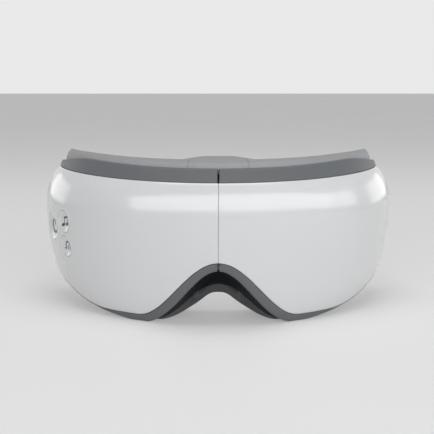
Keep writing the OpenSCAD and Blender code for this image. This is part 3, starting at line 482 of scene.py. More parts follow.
def shell_half(holes):
    """Points and faces of one half: a loop of outside, upper lip, inside and lower lip at each angle.

    Round a key, the grid between two angles and two levels is left out. Rings of points run from
    that block's border in to the hole's round edge, so that every point still lies on the shell."""
    angles = wrap_angles(angle_at(seam_gap / 2), shell_steps)
    levels = lip + (1 - 2 * lip) * np.linspace(0, 1, shell_levels)
    inset = edge_inset(angles, shell_edge)[:, None]
    turn = np.linspace(0, np.pi, lip_steps)[None, 1:-1]
    rows, columns, lips = len(angles), len(levels), turn.shape[1]
    p = angles[:, None]
    wall = shell_wall - 2 * inset
    loop = np.concatenate([
        shell_point(p, levels[None, :], inset),
        shell_point(p, levels[-1] + lip * np.sin(turn), inset + wall * (1 - np.cos(turn)) / 2),
        shell_point(p, levels[None, ::-1], shell_wall - inset),
        shell_point(p, levels[0] - lip * np.sin(turn), inset + wall * (1 + np.cos(turn)) / 2)], 1)
    length = loop.shape[1]
    number = np.arange(rows * length).reshape(rows, length)
    faces = grid_faces(rows, length, closed=True)
    row_of, column_of = np.divmod(np.arange(len(faces)), length)
    inner_first = columns + lips + columns - 1
    gone = np.zeros(len(faces), bool)
    points, groups, count = [loop.reshape(-1, 3)], [], rows * length
    for key, (p0, p1), (j0, j1) in holes:
        i0, i1 = np.searchsorted(angles, p0), np.searchsorted(angles, p1)
        border = ([(i, j0) for i in range(i0, i1)] + [(i1, j) for j in range(j0, j1)]
                  + [(i, j1) for i in range(i1, i0, -1)] + [(i0, j) for j in range(j1, j0, -1)])
        bi, bj = np.array(border).T
        x, y, _ = key.seen(shell_point(angles[bi], levels[bj]))
        bearing = np.arctan2(y, x)
        ring_x, ring_y = np.cos(bearing), np.sin(bearing)
        radius = key.radius + hole_slack
        stack = []
        outside, inside_too = (0.8, 0.56, 0.36, 0.2, 0.1, 0.04, 0), (0, 0.5)
        for k, grow, steps in ((0.0, 0.16, outside), (shell_wall, 0, inside_too)):
            pc, vc = key.shell_under((radius + grow) * ring_x, (radius + grow) * ring_y, k)
            share = np.array(steps)[:, None]
            stack += list(shell_point(
                pc + share * (angles[bi] - pc), vc + share * (levels[bj] - vc), k))
            if k == 0:
                _, _, deep = key.seen(stack[-1])
                for slack, deeper in ((0.07, 0.04), (0.02, 0.1), (0, 0.2)):
                    r = radius + slack
                    stack.append(key.at(r * ring_x, r * ring_y, deep + deeper))
        own = count + np.arange(len(stack) * len(bi)).reshape(len(stack), -1)
        points.append(np.concatenate(stack))
        count += own.size
        loops = [number[bi, bj], *own, number[bi, inner_first - bj]]
        groups += [between(one, two) for one, two in zip(loops[:-1], loops[1:])]
        inside = (row_of >= i0) & (row_of < i1)
        gone |= inside & (column_of >= j0) & (column_of < j1)
        gone |= inside & (column_of >= inner_first - j1) & (column_of < inner_first - j0)
    ends = []
    for i in (0, rows - 1):
        pair = [number[i, :columns], number[i, columns + lips:2 * columns + lips][::-1]]
        ends.append(np.stack([pair[0][:-1], pair[0][1:], pair[1][1:], pair[1][:-1]], -1))
        for first, second in ((columns - 1, columns + lips), (2 * columns + lips - 1, length)):
            lip_loop = [number[i, j % length] for j in range(first, second + 1)]
            ends.append([lip_loop])
    return np.concatenate(points), [faces[~gone], *groups, *ends]


def gloss_white(start):
    """Injection-moulded gloss: a very faint ripple in the surface, and thin smears in the shine."""
    smear = start.texture("Noise", 28.0, Detail=5.0, Roughness=0.6)
    warm = start.texture("Noise", 14.0, Detail=1.0)
    return {
        "Base_Color": warm.shade((0.62, 0.626, 0.636, 1), (0.65, 0.655, 0.664, 1)),
        "Roughness": 0.16 + 0.07 * ((smear - 0.45) * 4).held(),
        "Coat_Weight": 1.0,
        "Coat_Roughness": 0.15,
        "Normal": start.texture("Noise", 90.0, Detail=2.0).bump(0.02, 0.001),
    }


white = finish("gloss_white_plastic", gloss_white)
make("shell_right", *shell_half([]), white, "shell", "right_half", ["front_shell_right"])
left_points, left_faces = shell_half(key_holes)
make("shell_left", mirrored(left_points), left_faces, white, "shell", "left_half",
     ["front_shell_left"])

# Round keys. Three glossy white caps sit flush in the left shell, dished for a fingertip, with grey
# icons printed in the dishes. A rim under the shell holds each key in, and a stem meets its switch.

button_gap, rim_w, rim_t, stem_r, dish = 0.25, 0.5, 1.0, 1.6, 1.75
cap_steps, bowl_steps, shell_bend, ink_edge = 96, 16, 130, 0.12


def key_cap(key):
    """Rings of points from the dish's middle over the rim and down the side, the flange and the stem.

    The dish is a round bowl under the shell's own surface, so the cap's rim is flush all round."""
    turn = np.linspace(0, 2 * np.pi, cap_steps, endpoint=False)
    bowl = np.linspace(0.02, 0.9, bowl_steps)
    radii = np.concatenate([bowl, [0.93, 0.955, 0.972]]) * key.radius
    depth = dish * (1 - np.clip(radii / (0.95 * key.radius), 0, 1) ** 3)
    r = radii[:, None]
    _, _, under = key.seen(shell_point(*key.shell_under(r * np.cos(turn), r * np.sin(turn))))
    front = key.at(r * np.cos(turn), r * np.sin(turn), under + depth[:, None])
    _, _, rim = key.seen(front[-1])
    flange = shell_wall + 0.3 + (key.radius + rim_w) ** 2 / shell_bend
    below, wide = flange + rim_t, key.radius + button_gap + rim_w
    side = [(key.radius - 0.12, rim + 0.04), (key.radius - 0.03, rim + 0.12),
            (key.radius, rim + 0.25), (key.radius, flange), (wide, flange), (wide, below),
            (stem_r, below), (stem_r, below + 1.1), (stem_r - 0.3, below + 1.2), (0.02, below + 1.2)]
    back = [key.at(radius * np.cos(turn), radius * np.sin(turn), c) for radius, c in side]
    points = np.concatenate([front, np.array(back)])
    rings = np.arange(points.shape[0] * len(turn)).reshape(points.shape[0], -1)
    faces = [between(one, two) for one, two in zip(rings[:-1], rings[1:])]
    return points.reshape(-1, 3), [*faces, [rings[0]], [rings[-1]]]


def stroke(distance, width):
    """1 on a line of that width in millimetres, from the distance to its middle, with a soft edge."""
    return ((width / 2 - distance) / ink_edge).held()


def box_mask(x, y, half_x, half_y):
    """1 inside an upright box round 0, 0."""
    return ((half_x - x.size()) / ink_edge).held() * ((half_y - y.size()) / ink_edge).held()


def power_icon(x, y):
    """A ring open at the top, with an upright bar in the opening."""
    ring = stroke(((x * x + y * y) ** 0.5 - 3.8).size(), 1.4)
    opening = (y > 0) * (x.size() < y * 0.5)
    return (ring * (1 - opening)).most(box_mask(x, y - 2.4, 0.75, 2.1))


def music_icon(x, y):
    """Two slanted note heads with stems, joined by a beam that rises to the right."""
    picture = None
    for side in (-1, 1):
        u, w = x - (side * 1.75 - 0.75), y - (side * 0.35 - 1.85)
        lean = (u * u * 0.62 + w * w * 1.35 - u * w * 0.5) ** 0.5
        head = ((1.15 - lean) / ink_edge).held()
        stem = box_mask(x - side * 1.75 - 0.1, y - 0.35 - side * 0.35, 0.36, 2.3)
        picture = head.most(stem) if picture is None else picture.most(head).most(stem)
    return picture.most(box_mask(x - 0.1, y - 2.3 - 0.2 * x, 2.1, 0.62))


def mode_icon(x, y):
    """An arch open below, whose feet turn outwards, over a short upright bar."""
    arch = stroke(((x * x + y * y) ** 0.5 - 2.35).size(), 0.95) * (y > -1.3)
    foot = box_mask(x.size() - 2.55, y + 1.75, 0.85, 0.45)
    return arch.most(foot).most(box_mask(x, y + 0.9, 0.45, 1.3))


def key_white(icon):
    """The shell's gloss with an icon in grey ink, drawn in millimetres on the piece's own UV."""
    def pattern(start):
        made = gloss_white(start)
        spot = start.node("SeparateXYZ", Vector=start.node("TexCoord", out=2))
        ink = icon(spot, spot.also(1))
        made["Base_Color"] = ink.shade(made["Base_Color"], (0.045, 0.048, 0.055, 1))
        made["Roughness"], made["Coat_Weight"] = made["Roughness"] + ink * 0.3, 1 - ink
        return made
    return pattern


def drawn_on(key):
    """Millimetres to the right and up on the left half's key as it is seen from outside."""
    def flat(points):
        a, b, _ = key.seen(mirrored(points))
        return np.stack([-a, b], -1)
    return flat


for label, seat, icon in (("power", power_seat, power_icon), ("music", music_seat, music_icon),
                          ("mode", mode_seat, mode_icon)):
    cap_points, cap_faces = key_cap(seat)
    make(f"{label}_key", mirrored(cap_points), cap_faces,
         finish(f"{label}_key_plastic", key_white(icon)), "buttons", f"{label}_button",
         [f"{label}_button"], sharp=50, uv=drawn_on(seat))

# Dark grey trim frame. A satin grey moulding closes the back of each half. Its band leans back above
# the shell, its rim arches over the nose, and the mask stands on its foot. It is one long loop of
# section, swept round.

band_top, band_fall, band_lean, frame_wall, foot_w = 7.1, 4.0, 4.0, 2.0, 6.0
foot_flat, rim_thin, frame_steps, frame_edge, crisp = 0.7, 0.93, 130, 0.3, 42
pad_step, ledge_t, bay_depth, arm_bay, centre_gap = 3.0, 2.0, 17.0, 12.5, 1.0


def bay(p):
    """Depth of the room behind the shell, which gets less by a smooth step along the arm."""
    return bay_depth - (bay_depth - arm_bay) * smooth(np.abs(p), 50, 88)


def deck(p):
    """Depth of the frame's back, one wall behind the bay."""
    return bay(p) + frame_wall


def band_d(p):
    """Depth of the band's upper edge, which leans back from the shell's by less along the arm."""
    return shell_at(p, top_angle)[0] + band_lean * (1 - 0.65 * smooth(np.abs(p), 45, 82))


def band_z(p):
    """Height of the band's upper edge: the band is a tenth higher beside the nose, lower in the arm."""
    narrower = band_fall * smooth(np.abs(p), 50, 80) + 0.5 * tip(p)
    return shell_at(p, top_angle)[1] + band_top * (1 + 0.1 * smooth(np.abs(p), 15, 50)) - narrower


def foot_z(p):
    """The rim's lower edge. It keeps its width across a slope and thins out towards the arms."""
    run = np.linalg.norm(place(p + 0.5, 0, 0) - place(p - 0.5, 0, 0), axis=-1)
    slope = (shell_low(p + 0.5) - shell_low(p - 0.5)) / run
    rim = (band_low + foot_flat) * (1 + slope ** 2) ** 0.7 * (1 - rim_thin * smooth(np.abs(p), 22, 52))
    return np.maximum(0, shell_low(p) - rim)


def foot_d(p):
    """Depth of the rim's lower edge, a little behind the shell's."""
    return shell_at(p, -low_angle(p))[0] + 0.8


def corners_of(*pairs):
    """Rows of section points: each pair is a depth and a height, as numbers or one value a row."""
    flat = np.broadcast_arrays(*[value for pair in pairs for value in pair])
    return np.stack(flat, -1).reshape(len(flat[0]), -1, 2)


def rounded(section, radii, steps=5):
    """The sections with each corner replaced by a parabola that starts and ends that far from it."""
    before, after = np.roll(section, 1, 1) - section, np.roll(section, -1, 1) - section
    lengths = [np.linalg.norm(way, axis=-1, keepdims=True) for way in (before, after)]
    reach = np.minimum(np.array(radii)[None, :, None], 0.46 * np.minimum(*lengths))
    first, last = section + reach * before / lengths[0], section + reach * after / lengths[1]
    t = np.linspace(0, 1, steps)[None, None, :, None]
    curve = ((1 - t) ** 2 * first[:, :, None] + 2 * t * (1 - t) * section[:, :, None]
             + t ** 2 * last[:, :, None])
    return curve.reshape(len(section), -1, 2)


def frame_section(p):
    """The frame's corners: the band, the shell's seats round the bay, the rim, the foot, the back."""
    top_d, top = shell_at(p, top_angle)
    top_in, top_in_z = shell_at(p, top_angle, shell_wall * 0.8)
    low_d, low = shell_at(p, -low_angle(p))
    low_in, low_in_z = shell_at(p, -low_angle(p), shell_wall)
    bd, bz, fd, fz, back, hind = band_d(p), band_z(p), foot_d(p), foot_z(p), bay(p), deck(p)
    return corners_of(
        (bd, bz), (top_d + 0.1, top + 0.2), (top_in + 0.25, top_in_z + 0.2),
        (np.minimum(bd + 1, back - 0.6), bz - pad_step - ledge_t), (back, bz - pad_step - ledge_t),
        (back, fz + pad_step + ledge_t), (fd + 2.6, fz + pad_step + ledge_t),
        (low_in + 0.2, low_in_z - 0.2), (low_d + 0.1, low - 0.2), (fd, fz), (fd + foot_w, fz),
        (fd + foot_w, fz + pad_step), (hind, fz + pad_step), (hind, bz - pad_step),
        (bd + frame_wall, bz - pad_step), (bd + frame_wall, bz))


frame_radii = [1.3, 0.25, 0.2, 0.3, 0.3, 0.3, 0.3, 0.2, 0.25, 1.1, 0.9, 0.3, 0.3, 0.3, 0.3, 0.35]


def swept(angles, sections):
    """Points and faces of a solid through closed sections at those angles, with both ends filled."""
    points = place(np.asarray(angles)[:, None], sections[..., 0], sections[..., 1])
    return points, capped(*sections.shape[:2])


def drawn_in(sections, insets):
    """The sections with their points moved inwards by one distance a row, for rounded ends."""
    way = np.roll(sections, -1, 1) - np.roll(sections, 1, 1)
    way = way / np.maximum(np.linalg.norm(way, axis=-1, keepdims=True), 1e-9)
    return sections + np.stack([-way[..., 1], way[..., 0]], -1) * np.asarray(insets)[:, None, None]


def satin_grey(start):
    """Spark-eroded satin: a fine even grain, with a slow drift in its shade and shine."""
    grain = start.texture("Noise", 1900.0, Detail=2.0).bump(0.12, 0.0002)
    return start.texture("Noise", 22.0, Detail=3.0).look(
        (0.100, 0.108, 0.117, 1), (0.114, 0.122, 0.132, 1), 0.44, 0.12, Normal=grain)


satin = finish("satin_grey_plastic", satin_grey)
frame_angles = wrap_angles(angle_at(centre_gap / 2), frame_steps)
frame_edges = edge_inset(frame_angles, frame_edge)
frame_loops = drawn_in(rounded(frame_section(frame_angles), frame_radii), frame_edges)
frame_points, frame_faces = swept(frame_angles, frame_loops)
trims = make_pair("trim", frame_points, frame_faces, satin, "trim", "trim_frame", sharp=crisp)

# Charging port. A rounded opening through the foot of the right arm, from below, where the charging
# socket sits. The trim is moulded with it, so it is cut from the trim's own mesh.

port_at, port_l, port_w, port_slack, port_deep, port_steps = 62.0, 9.2, 3.4, 0.2, 11.0, 48


def along_wrap(p):
    """The level direction along the wrap at the angle p."""
    n = outward(p)
    return np.array([-n[1], n[0], 0.0])


def applied(piece):
    """Gives a piece the mesh that its modifiers make, and takes them off."""
    bpy.context.view_layer.update()
    solved = piece.evaluated_get(bpy.context.evaluated_depsgraph_get())
    piece.data = bpy.data.meshes.new_from_object(solved)
    piece.modifiers.clear()


def bored(piece, cutter, sharp):
    """Cuts one closed piece out of another and deletes the cutter."""
    cut = piece.modifiers.new("opening", "BOOLEAN")
    cut.object, cut.operation, cut.solver = cutter, "DIFFERENCE", "EXACT"
    applied(piece)
    piece.data.shade_smooth()
    piece.data.set_sharp_from_angle(angle=math.radians(sharp))
    bpy.data.objects.remove(cutter)


port_low = float(foot_z(np.array(port_at))) - 1
port_centre = place(port_at, float(foot_d(np.array(port_at))) + 0.6 * foot_w, port_low)
port_turn = np.linspace(0, 2 * np.pi, port_steps, endpoint=False) + np.pi / port_steps
port_r = port_w / 2 + port_slack
port_u = np.cos(port_turn) * port_r + np.sign(np.cos(port_turn)) * (port_l - port_w) / 2
port_ring = (port_centre + port_u[:, None] * along_wrap(port_at)
             - (np.sin(port_turn) * port_r)[:, None] * np.array([*outward(port_at), 0.0]))
port_rings = np.concatenate([port_ring, port_ring + [0, 0, port_deep]])
port_cutter = put("port_cutter", closed_mesh("port_cutter", port_rings, capped(2, port_steps)))
bored(trims[0], port_cutter, crisp)

# Padded lining. Soft light grey artificial leather over foam: one pad on each half, with a roll along
# its top, a hollow for the eye and a sewn line round it. Each is clipped over the frame's step.

hinge_back, knuckle_r, soft_gap, pad_depth, arm_depth = 31.0, 3.0, 0.3, 38.0, 20.0
roll_rise, roll_fall, brow_rise, brow_half, eye_hollow = 3.9, 2.0, 2.8, 27.0, 5.0
flap_z, flap_wide, flap_steep, hem_t, flap_t, pad_start = 11.5, 15.45, 2.8, 6.5, 4.0, 10.0
eye_at, eye_wide, eye_z, eye_high, bridge_in, bridge_z, bridge_high = 24, 11, 44, 17, 1.2, 34, 12


def face(p):
    """Depth of the face side: less by a smooth step along the arm, and tucked in at its end."""
    return pad_depth - (pad_depth - arm_depth) * smooth(np.abs(p), 35, 90) - tip_tuck * 0.6 * tip(p)


def seat_d(p):
    """Depth at which the lining meets the back of the band."""
    return band_d(p) + frame_wall + soft_gap


def roll_z(p):
    """Height of the roll over the shell's edge, less smooth falls to the side and at the arm's end."""
    fall = 0.5 * smooth(np.abs(p), 12, 45) + roll_fall * smooth(np.abs(p), 78, 92) + 1.5 * tip(p)
    return shell_at(p, top_angle)[1] + band_top + roll_rise - fall


def aside(p):
    """How far the wrap is to the side of the middle at the angle p."""
    return half_width * np.abs(sine(p))


def flap(p):
    """1 in the middle, falling to 0 at 30 mm to the side as a cosine bell."""
    return bell(aside(p), 30)


def flap_low(p):
    """The lining's lower edge: a blunt arch at the nose, on the table beside it, higher in the arms."""
    hung = flap_z / (1 + (aside(p) / flap_wide) ** flap_steep) * (1 - smooth(aside(p), 20, 38))
    return np.minimum(foot_z(p), hung + foot_z(p) * smooth(np.abs(p), 38, 56))


def face_at(p, u):
    """The face side at the share u of its height, pushed in by round bells at the eye and the nose."""
    z = flap_low(p) + 6 + (roll_z(p) - 15 - flap_low(p)) * u
    off_eye = ((np.abs(p) - eye_at) / eye_wide) ** 2 + ((z - eye_z) / eye_high) ** 2
    hollow = eye_hollow * np.exp(-off_eye)
    hollow = hollow + bridge_in * flap(p) * np.exp(-((z - bridge_z) / bridge_high) ** 2)
    return face(p) - hollow + 0.8 * np.sin(np.pi * u), z


def soft_outside(p):
    """The lining's section from its clip at the foot, over the face side, to its clip at the band."""
    fz, low, f, k = foot_z(p), flap_low(p), face(p), flap(p)
    s, seat, rz, bz, h = foot_d(p) + foot_w + soft_gap, seat_d(p), roll_z(p), band_z(p), fz - low
    flat = 1 - smooth(h, 0, 6)
    hem = s + 0.5 + (f - hem_t - s) * (1 - smooth(aside(p), 14, 37))
    wall = hem + (hem_t - flap_t) * k
    brow = brow_rise * (1 - smooth(aside(p), 0.25 * brow_half, 1.3 * brow_half))
    shoulder = smooth(np.abs(p), 58, 90)
    over = [(seat + share * (f - seat), rz + drop + lift * brow) for share, drop, lift in (
        (0.97, -4.6, 0.6), (0.88, -2.4, 1), (0.74, -1.6, 1), (0.6, -1.3, 0.8), (0.47, -1.0, 0.3),
        (0.38, -0.2, 0), (0.28, -0.5 * shoulder, 0), (0.15, -0.4 - 2.0 * shoulder, 0),
        (0.05, -1.6 - 3.2 * shoulder, 0))]
    return corners_of(
        (s, fz), (s + 0.5 * (wall - s), fz), (wall - 0.1 * (wall - s), fz - 0.04 * h),
        (wall + 0.2, fz - 0.3 * h), (wall + 0.3 * flat, low + 0.46 * h),
        (hem + 0.4 + 0.1 * flat, low + 0.34 * h), (hem + 0.7 * flat, low + 0.14 * h),
        (hem + 1, low), (f - 1.4, low), (f - 0.2, low + 1.6), (f + 0.1, low + 4),
        *[face_at(p, i / 7) for i in range(8)], *over, (seat, bz + 0.2))


def softened(rows, steps):
    """An even cubic curve drawn to each row's points, from its first to its last."""
    q = np.concatenate([rows[:, :1], rows[:, :1], rows, rows[:, -1:], rows[:, -1:]], 1)
    t = np.linspace(0, 1, steps, endpoint=False)[None, None, :, None]
    a, b, c, d = (q[:, i:q.shape[1] - 3 + i, None] for i in range(4))
    curve = (a * (1 - t) ** 3 + b * (3 * t ** 3 - 6 * t ** 2 + 4)
             + c * (-3 * t ** 3 + 3 * t ** 2 + 3 * t + 1) + d * t ** 3) / 6
    return np.concatenate([curve.reshape(len(rows), -1, 2), rows[:, -1:]], 1)


seam_at, seam_z, seam_wide, seam_high, seam_depth, seam_half = 27.0, 45.0, 25.0, 22.0, 0.8, 0.75
pad_steps = 7


def off_seam(p, z):
    """Roughly how far a point of the face side lies from the eye seam, an oval round the hollow."""
    along = np.radians(np.abs(p) - seam_at) * wrap_mean
    return (np.sqrt((along / seam_wide) ** 2 + ((z - seam_z) / seam_high) ** 2) - 1) * seam_high


def lining_section(p, *behind):
    """The whole loop of a lining's section, with the given corners where its back leaves the deck."""
    g, fz, bz = soft_gap, foot_z(p) + pad_step - soft_gap, band_z(p) - pad_step + soft_gap
    rear = corners_of((seat_d(p), bz), (deck(p) + g, bz), *behind, (deck(p) + g, fz),
                      (foot_d(p) + foot_w + g, fz))
    front = softened(soft_outside(p), pad_steps)
    seam = seam_depth * np.exp(-(off_seam(p[:, None], front[..., 1]) / seam_half) ** 2)
    front[..., 0] -= seam * smooth(front[..., 0], face(p)[:, None] - 9, face(p)[:, None] - 5)
    return np.concatenate([front, rounded(rear, [0.3] * rear.shape[1], 3)], 1)


cell_low, cell_high, cell_from, cell_to, cell_t, film_t = 27.0, 72.0, 17.0, 54.0, 6.0, 0.5
cell_room = 2 * soft_gap + cell_t + film_t + 0.3


def pad_section(p):
    """A side pad: behind it is a shallow pocket for the air cell and the heating film."""
    depth = cell_room * smooth(np.abs(p), pad_start + 0.5, cell_from - 1)
    depth = depth * (1 - smooth(np.abs(p), cell_to + 1, cell_to + 8))
    low = np.maximum(cell_low, foot_z(p) + pad_step + 3)
    high = np.minimum(cell_high, band_z(p) - pad_step - 3)
    back = deck(p) + soft_gap
    pocket = back + depth
    return lining_section(p, (back, high + 1), (pocket, high), (pocket, low), (back, low - 1))


def soft_leather(start):
    """Artificial leather: small even pebbles with fine creases between them, softly shiny on top."""
    pebbles = start.texture("Voronoi", 1150.0, {"feature": "F1"})
    smoothed = (start.texture("Voronoi", 520.0, {"feature": "DISTANCE_TO_EDGE"}) * 3).held()
    drift = start.texture("Noise", 16.0, Detail=4.0)
    return {
        "Base_Color": drift.shade((0.275, 0.280, 0.287, 1), (0.320, 0.326, 0.333, 1)),
        "Roughness": 0.62 - 0.12 * smoothed,
        "Normal": (smoothed * 0.7 - pebbles * 0.3 + drift * 0.4).bump(0.35, 0.0003),
    }


def painted_shade_net(start):
    """Painted shade behind the nose arch: a near-black colour with a fine diagonal weave of threads,
    where shade falls under the arch.
    """
    threads = start.texture("Wave", 520.0, {"bands_direction": "DIAGONAL"}, out=1)
    drift = start.texture("Noise", 200.0)
    return {
        "Base_Color": threads.shade((0.010, 0.011, 0.013, 1), (0.022, 0.024, 0.027, 1)),
        "Roughness": 0.85 + 0.1 * drift,
        "Normal": threads.bump(0.3, 0.0002),
    }


def hem_leather_painted_shade(start):
    """Painted shade on the hem under the nose: the lining's leather, darkened to stand for the shade
    under the arch.
    """
    made = soft_leather(start)
    drift = start.texture("Noise", 16.0, Detail=4.0)
    made["Base_Color"] = drift.shade((0.072, 0.076, 0.082, 1), (0.092, 0.097, 0.103, 1))
    return made


leather = finish("soft_grey_leather", soft_leather)
# Painted shade: the near-black weave and the darkened hem stand for the shade under the nose arch.
recess_painted_shade, hem_painted_shade = finish("net_lining_painted_shade", painted_shade_net), finish("grey_hem_painted_shade", hem_leather_painted_shade)
shade_net_end, shade_net_taper, hem_end = 44, 10, 9 * pad_steps


def nose_finishes(angles, columns):
    """Masks of a lining's faces for painted shade: a near-black weave on the wall behind the arch, and a
    darkened hem below it.

    The painted shade on the wall is a crescent: it ends at one column of the section in the middle, and
    earlier beside it."""
    off_middle = aside((angles[:-1] + angles[1:]) / 2)[:, None]
    near, column = off_middle < arch_half - 7, np.arange(columns)[None, :]
    border = shade_net_end - shade_net_taper * smooth(off_middle, 3, 20)
    return [(recess_painted_shade, (near & (column < border)).ravel()),
            (hem_painted_shade, (near & (column >= border) & (column < hem_end)).ravel())]


pad_seam, pad_edge, arm_edge = 0.03, 0.14, 0.5
pad_angles = np.concatenate([pad_start + pad_seam + np.array([0, 0.03, 0.08, 0.15]),
                             np.linspace(pad_start + 0.45, tip_start, 190),
                             tip_start + 13 * np.sin(np.linspace(0, np.pi / 2, 15))[1:-1],
                             arm_end - np.array([0.3, 0.14, 0.04, 0])])
pad_insets = np.where(
    pad_angles < 45, edge_inset(pad_angles, pad_edge), edge_inset(pad_angles, arm_edge))
pad_loops = drawn_in(pad_section(pad_angles), pad_insets)
pad_points, pad_faces = swept(pad_angles, pad_loops)
# Near the middle, the pads carry painted shade under the nose arch.
pads = make_pair("pad", pad_points, pad_faces, leather, "pad", "face_pad", sharp=60,
                 other=nose_finishes(pad_angles, pad_loops.shape[1]))

# Cover swollen by its foam. The foam presses the cover out between its seams. A coarse copy of the
# right pad is blown up a little as cloth, held where the cover is clipped, and both pads follow it by
# at most 1.5 mm.

swell_most, voxel, pressure, cloth_steps = 1.5, 5.0, 4.0, 20
clip_deep, clip_low, near_voxels, seam_hold = 7, 8, 0.9, 3.5


def wrap_angle(points):
    """The angle along the wrap of each point, in degrees."""
    back = 1 - (points[:, 1] + depth_all / 2) / wrap_depth
    return np.degrees(np.arctan2(points[:, 0] / half_width, back))


def blown_up(piece):
    """The points of a coarse closed copy of the piece, and how far each moves under pressure."""
    coarse = put("coarse_cover", piece.data.copy())
    remesh = coarse.modifiers.new("voxels", "REMESH")
    remesh.mode, remesh.voxel_size = "VOXEL", voxel / 1000
    applied(coarse)
    rest = places_of(coarse.data)
    p = wrap_angle(rest)
    behind = np.linalg.norm(place(p, 0, rest[:, 2])[:, :2] - rest[:, :2], axis=1)
    held = coarse.vertex_groups.new(name="held")
    clipped = (behind < deck(p) + clip_deep) | (rest[:, 2] < clip_low)
    held.add(np.flatnonzero(clipped).tolist(), 1.0, "REPLACE")
    cloth = coarse.modifiers.new("cloth", "CLOTH")
    cloth.settings.vertex_group_mass = "held"
    cloth.settings.use_pressure, cloth.settings.uniform_pressure_force = True, pressure
    cloth.settings.effector_weights.gravity = 0.0
    scene = bpy.context.scene
    for frame_number in range(1, cloth_steps + 1):
        scene.frame_set(frame_number)
    moved = coarse.evaluated_get(bpy.context.evaluated_depsgraph_get()).to_mesh()
    move = places_of(moved) - rest
    scene.frame_set(1)
    bpy.data.objects.remove(coarse)
    return rest, move


def swollen(points, rest, move):
    """How far points of the fine cover move: as the coarse points near them, by a bell's weights.

    The move is capped by a hyperbolic tangent, and fades at the seams and at the cover's ends."""
    out = np.zeros_like(points)
    for block in np.array_split(np.arange(len(points)), 64):
        away = ((points[block, None] - rest[None]) ** 2).sum(-1)
        near = np.exp(-away / (2 * (near_voxels * voxel) ** 2))
        out[block] = near @ move / np.maximum(near.sum(1, keepdims=True), 1e-12)
    length = np.linalg.norm(out, axis=1, keepdims=True)
    out *= np.tanh(length / swell_most) * swell_most / np.maximum(length, 1e-9)
    p = wrap_angle(points)
    free = smooth(p, pad_start + 0.5, pad_start + 9) * (1 - smooth(p, 82, 90))
    return out * (free * (1 - np.exp(-(off_seam(p, points[:, 2]) / seam_hold) ** 2)))[:, None]


cover_rest, cover_move = blown_up(pads[0])
for pad, hand in zip(pads, (1, -1)):
    fine = places_of(pad.data) * [hand, 1, 1]
    fine = (fine + swollen(fine, cover_rest, cover_move)) * [hand, 1, 1]
    pad.data.vertices.foreach_set("co", (fine * 0.001).astype(np.float32).ravel())
    pad.data.update()

# Stitches round the eyes. A waxed thread in a slightly paler grey pulls the cover down along the oval
# seam round each eye. Every stitch is a short rounded stroke of thread, bedded in the groove.

stitches, stitch_l, thread_r, stitch_up, stitch_dip = 44, 2.1, 0.3, 0.15, 0.45


def tube(path, radius, sides=18):
    """Points and faces of a round tube. Each ring keeps the turn of the last, so it never pinches."""
    ways = np.gradient(path, axis=0)
    ways /= np.linalg.norm(ways, axis=1, keepdims=True)
    across = np.cross(ways[0], [0.3, 0.5, 0.8])
    frames = []
    for way in ways:
        across = across - way * (across @ way)
        across /= np.linalg.norm(across)
        frames.append((across, np.cross(way, across)))
    u, w = np.array(frames).transpose(1, 0, 2)
    turn = np.linspace(0, 2 * np.pi, sides, endpoint=False)[None, :, None]
    points = path[:, None] + radius * (np.cos(turn) * u[:, None] + np.sin(turn) * w[:, None])
    return points.reshape(-1, 3), capped(len(path), sides)


def stitch(turn):
    """One stitch along the oval at that turn, as a bent stroke whose ends dip into the leather."""
    half_turn = stitch_l / 2 / ((seam_wide + seam_high) / 2)
    share = np.linspace(-1, 1, 5)
    angle = turn + share * half_turn
    p = seam_at + np.degrees(seam_wide * np.cos(angle) / wrap_mean)
    z = seam_z + seam_high * np.sin(angle)
    depth, _ = face_at(p, (z - 6 - flap_low(p)) / (roll_z(p) - 15 - flap_low(p)))
    return tube(place(p, depth - seam_depth + stitch_up - stitch_dip * share ** 2, z), thread_r, 8)


def waxed_thread(start):
    """Twisted thread: fine slanting strands."""
    strands = start.texture("Wave", 700.0, {"bands_direction": "DIAGONAL"}, out=1)
    return strands.look((0.30, 0.31, 0.32, 1), (0.44, 0.45, 0.46, 1), 0.5, 0.1)


thread = finish("waxed_thread", waxed_thread)
each_stitch = [stitch(2 * np.pi * i / stitches) for i in range(stitches)]
stitch_points = np.concatenate([points for points, _ in each_stitch])
stitch_size = len(each_stitch[0][0])
stitch_faces = [np.asarray(group) + i * stitch_size
                for i, (_, groups) in enumerate(each_stitch) for group in groups]
make_pair("eye_stitches", stitch_points, stitch_faces, thread, "pad", sharp=60)

# Soft skin over the nose and the fold. The same leather joins the two pads over the hinge. It swells at
# the forehead and hangs as a flap over the nose, in one piece from one half to the other.

skin_back, skin_p = hinge_back + knuckle_r + soft_gap, pad_start - pad_seam
hose_r, cross_z = 1.5, arch_z + 3.4
loom_z = cross_z - 1
skin_floor = loom_z - hose_r - 1.9
skin_edge = np.array([0, 0.03, 0.08, 0.15])
skin_angles = np.concatenate([skin_edge - skin_p, np.linspace(-9.4, 9.4, 57), skin_p - skin_edge[::-1]])


def skin_section(p):
    """The skin fills the space down to the deck, but leaves a way for the hinge and the hose."""
    top, inner = band_z(p) - pad_step + soft_gap, skin_back - 0.3 * np.abs(p) / pad_start
    return lining_section(p, (inner, top - 0.1), (inner, skin_floor),
                          (deck(p) + soft_gap, skin_floor - 0.1))


skin_loops = drawn_in(skin_section(skin_angles), edge_inset(skin_angles, pad_edge))
# The skin also carries painted shade under the nose arch.
skin = make("nose_skin_soft", *swept(skin_angles, skin_loops), leather, "pad", None, ["nose_skin"],
            sharp=60, other=nose_finishes(skin_angles, skin_loops.shape[1]))
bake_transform(skin)

# Arm caps and case screws. A satin grey cap closes each arm, with a slit for the head band. The
# drawing's own solids are shown, and so are the small black screws that hold the shells.


def dress(material, *names):
    """Gives a finish to the drawing's solids of those names."""
    for name in names:
        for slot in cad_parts[name].material_slots:
            slot.material = material


